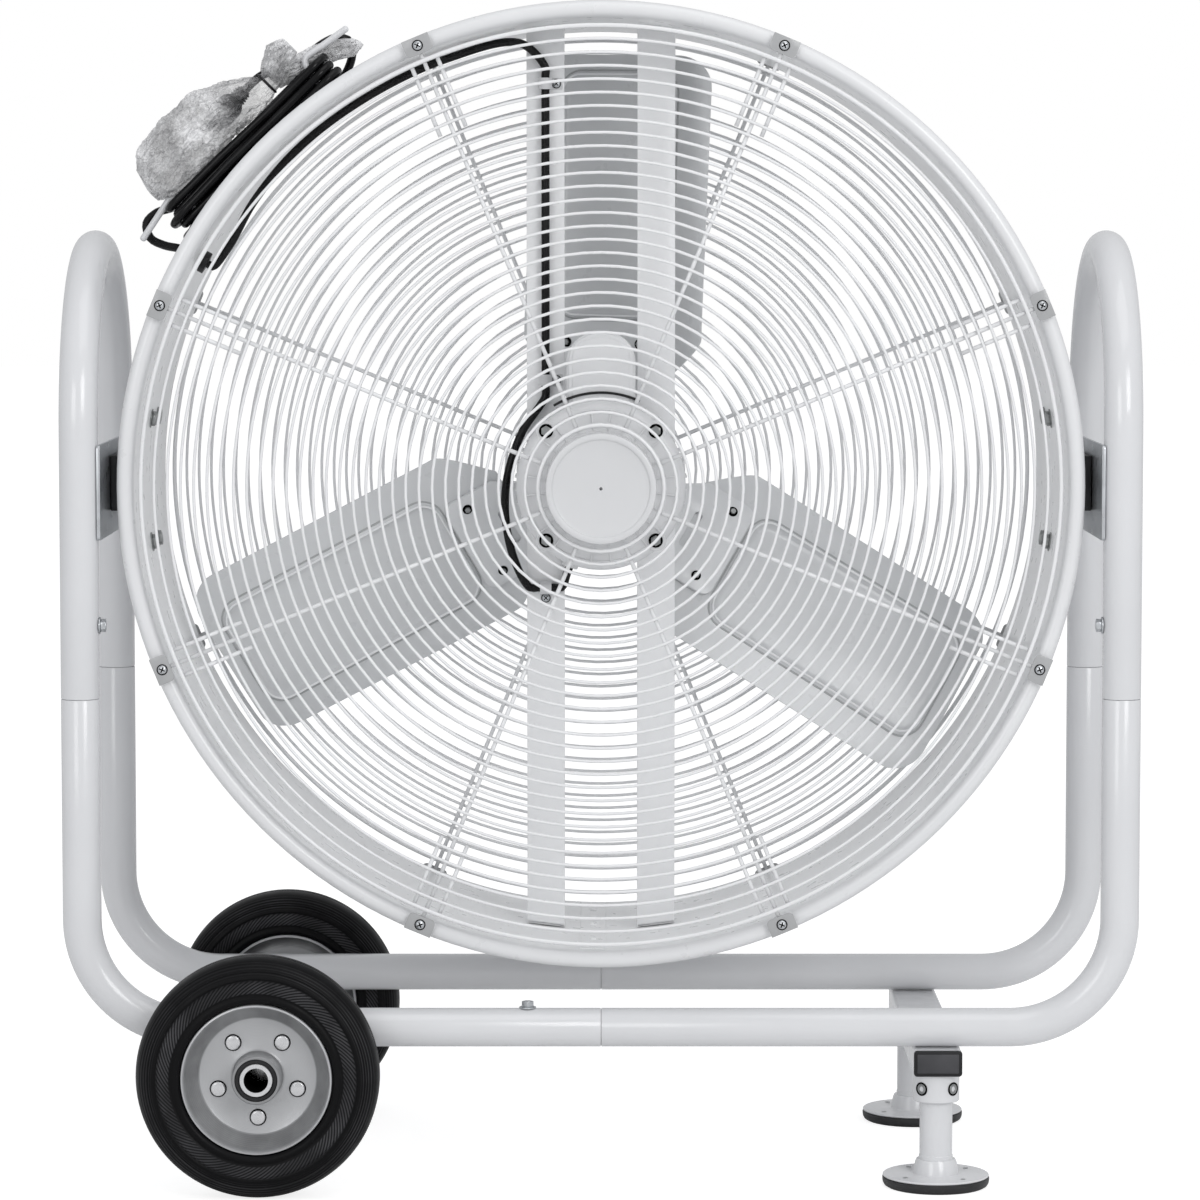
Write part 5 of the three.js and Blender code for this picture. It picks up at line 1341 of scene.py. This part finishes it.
# Flat black rings under the blade bolts: painted shade round the heads.
on_drum("bolt_shade_rings", copies(rod((0, 0, 0), (0, 0, 0.6), 5.4, 28), BLADE_BOLTS), SHADE_BLACK, body="rotor")
for k, hand in enumerate(BLADES, 1):
    on_drum(f"fan_blade_{k}", blade(), BLADE_WHITE, f"blade_{k}", hand=hand, body="rotor")
    # Each panel gets a dark line of painted shade outside its crease, and a ridge line in the lighter strut white
    # as a painted highlight.
    on_drum(f"panel_crease_shade_{k}", panel_line(4.4, 0.3, 1.0), CREASE_SHADE_GREY, hand=hand, body="rotor")
    on_drum(f"panel_ridge_highlight_{k}", panel_line(0.4, 3.1, 1.1), STRUT_WHITE, hand=hand, body="rotor")

# ---- Gland and hooks ----
HOOK_R = 3.5
HOOK_BEND = 8
HOOK_TOE = 56


def gland():
    stand = facing(on_gland(0), on_gland(1) - on_gland(0)) @ ON_END
    shape = rod(on_gland(WALL_FACE - 7), on_gland(WALL_FACE - FIT), 12, 6).bevelled(0.8)
    wall, out = WALL_FACE - 1, DRUM_OUT
    profile = [(0, wall), (8, wall), (8, out + FIT), (10.4, out + FIT), (11, out + 1), (11, out + 7.5),
               (10, out + 8.4), (9.8, out + 10), (8.6, out + 13), (6.6, GLAND_TIP - 0.6), (6, GLAND_TIP),
               (0, GLAND_TIP)]
    return shape.add(turned(profile, 48, False), stand)


def swept(line, radius):
    """A round bar along a line in millimetres, its ends domed."""
    curve = round_bar("bar", line, radius, 6)
    holder = bpy.data.objects.new("bar", curve)
    mesh = bpy.data.meshes.new_from_object(holder)
    shape = Shape()
    shape.bm.from_mesh(mesh)
    shape.clean()
    bpy.data.objects.remove(holder)
    bpy.data.curves.remove(curve)
    bpy.data.meshes.remove(mesh)
    for end, before in ((line[0], line[1]), (line[-1], line[-2])):
        shape.add(dome(radius, radius * 0.8), facing(end, end - before))
    return shape


def hook(angle, way):
    out = direction(angle)
    across = direction(angle - math.pi / 2) * way
    base = Vector((0, LINE_Y, PIVOT_Z))
    foot = base + out * (DRUM_OUT + FIT)
    bend = base + out * (HOOK_REACH - HOOK_BEND)
    line = [foot, bend]
    for k in range(1, 9):
        a = math.pi / 2 * k / 8
        line.append(bend + out * HOOK_BEND * math.sin(a) + across * HOOK_BEND * (1 - math.cos(a)))
    line.append(base + out * HOOK_REACH + across * HOOK_TOE)
    weld = turned([(0, 0), (8, 0), (7.4, 1.4), (4.6, 2.4), (3, 4), (0, 4)], 32, False)
    return swept(line, HOOK_R).add(weld, facing(foot, out) @ ON_END)


finished("cable_gland", gland(), BLACK, "drum", "cord_gland")
for place, angle, way in (("upper", HOOK_ANGLES[0], 1), ("lower", HOOK_ANGLES[1], -1)):
    finished(f"{place}_hook", hook(angle, way), HOOK_GREY, "drum", f"cord_hook_{place}")


# ---- Wrap round the plug ----
def film_bag(stations, aside=0.0, crinkle=3.2, steps=132):
    """A bag through (along, out, half height, half depth) stations on the hank's axes, with crinkles."""
    shape = Shape()
    bm = shape.bm
    rows = []
    for before, after in neighbours(stations, False):
        count = max(2, round(abs(after[0] - before[0]) / 1.5))
        for k in range(count):
            t = k / count
            t = t * t * (3 - 2 * t) * 0.5 + t * 0.5
            rows.append([u + (w - u) * t for u, w in zip(before, after)])
    rows.append(stations[-1])
    rings = []
    for a, c, high, deep in rows:
        ring = []
        for k in range(steps):
            angle = TAU * k / steps
            x, y = math.cos(angle), math.sin(angle)
            at = Vector((a, c, y * deep)) * 0.045
            fold = noise.noise(at + Vector((x * 1.1, 0, y * 1.1)))
            ridge = 1 - 2 * abs(noise.noise(Vector((a * 0.03, x * 2.6, y * 2.6)) + Vector((7, 0, 0))))
            small = abs(noise.noise(Vector((a * 0.11, x * 7.5, y * 7.5)) + Vector((0, 3, 0))))
            sharp = abs(noise.noise(Vector((a * 0.21, x * 15, y * 15)) + Vector((0, 9, 5))))
            grow = crinkle * (fold * 1.5 + ridge * 0.8 - 0.4) - small * 5.5 - sharp * 2.6
            grow *= min(high, 20) / 20
            ring.append(bm.verts.new(on_hank(a, y * (deep + grow) + aside, c + x * (high + grow))))
        rings.append(ring)
    skinned(bm, rings, False)
    for ring in (rings[0], rings[-1]):
        middle = bm.verts.new(sum((v.co for v in ring), Vector()) / steps)
        for a, b in neighbours(ring):
            bm.faces.new((a, b, middle))
    return shape.clean()


WRAP_LUMP = ((-113, 545, 8, 12), (-106, 556, 22, 26), (-92, 560, 31, 33), (-66, 560, 34.5, 36),
             (-30, 559.5, 34, 36), (0, 557.5, 31.5, 33), (24, 551, 26, 28), (42, 544, 19, 20),
             (53, 541.5, 12, 12.5), (58, 542, 12, 13), (68, 545, 16, 20), (82, 551, 17, 25), (92, 553, 13, 24),
             (100, 552, 9, 20))
wrap = finished("plug_film", film_bag(WRAP_LUMP), FILM, "drum", "plug_wrap", sharp=16)

TAIL_LUMP = ((60, 538, 9, 8), (72, 538, 13, 12), (90, 532, 13, 13), (108, 526, 12.5, 13), (124, 519, 14, 14),
             (138, 511, 14, 13), (149, 505, 9, 9), (154, 501, 3, 4))
film_tail = finished("film_tail", film_bag(TAIL_LUMP, 18, 2.2, 84), FILM, "drum", sharp=16)


tie = finished("film_tie", wire_ring(12.6, 1.3, 0, 48, 10).moved(along_hank(54.5, 541.5)), BLACK, "drum")

# ---- Floor and background ----
def sees_white(tree):
    """How far a ray should see plain white: rays from the camera, straight or through film."""
    path = tree.nodes.new("ShaderNodeLightPath")
    either = tree.nodes.new("ShaderNodeMath")
    either.operation = "MAXIMUM"
    for k, kind in enumerate(("Is Camera Ray", "Is Transmission Ray")):
        tree.links.new(path.outputs[kind], either.inputs[k])
    return either.outputs[0]


def add_floor():
    """A floor that shows white to the camera, with the object's shadow kept on it."""
    finish = Finish("floor_white", None, roughness=0.9, specular_ior_level=0.0)
    seen = Value(finish, sees_white(finish.tree))
    finish.feed("Base Color", finish.mix(seen, (0.9, 0.9, 0.9), (0.45, 0.45, 0.45)))
    glow = finish.node("ShaderNodeEmission", {"Color": (1, 1, 1), "Strength": seen * 0.8})
    both = finish.tree.nodes.new("ShaderNodeAddShader")
    finish.tree.links.new(finish.shader.outputs[0], both.inputs[0])
    finish.tree.links.new(glow.socket, both.inputs[1])
    finish.tree.links.new(both.outputs[0], finish.output.inputs[0])
    shape = Shape()
    bmesh.ops.create_grid(shape.bm, x_segments=1, y_segments=1, size=FLOOR_HALF)
    mesh = bpy.data.meshes.new("floor")
    shape.bm.to_mesh(mesh)
    mesh.materials.append(finish.material)
    linked("floor", mesh)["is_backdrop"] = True


def add_world():
    """Soft daylight for the object, and plain white wherever the camera looks past it."""
    world = bpy.data.worlds.new("world")
    world.use_nodes = True
    tree = world.node_tree
    tree.nodes.clear()
    soft, white = tree.nodes.new("ShaderNodeBackground"), tree.nodes.new("ShaderNodeBackground")
    soft.inputs[0].default_value = (0.97, 0.98, 1.0, 1)
    soft.inputs[1].default_value = ROOM_LIGHT
    white.inputs[0].default_value = (1, 1, 1, 1)
    both = tree.nodes.new("ShaderNodeMixShader")
    output = tree.nodes.new("ShaderNodeOutputWorld")
    for k, start in enumerate((sees_white(tree), soft.outputs[0], white.outputs[0])):
        tree.links.new(start, both.inputs[k])
    tree.links.new(both.outputs[0], output.inputs[0])
    scene.world = world


add_floor()
add_world()
scene.view_settings.view_transform = "Standard"

# ---- The cord's length and the size ----
line_length(cord_line) * MM
low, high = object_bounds()
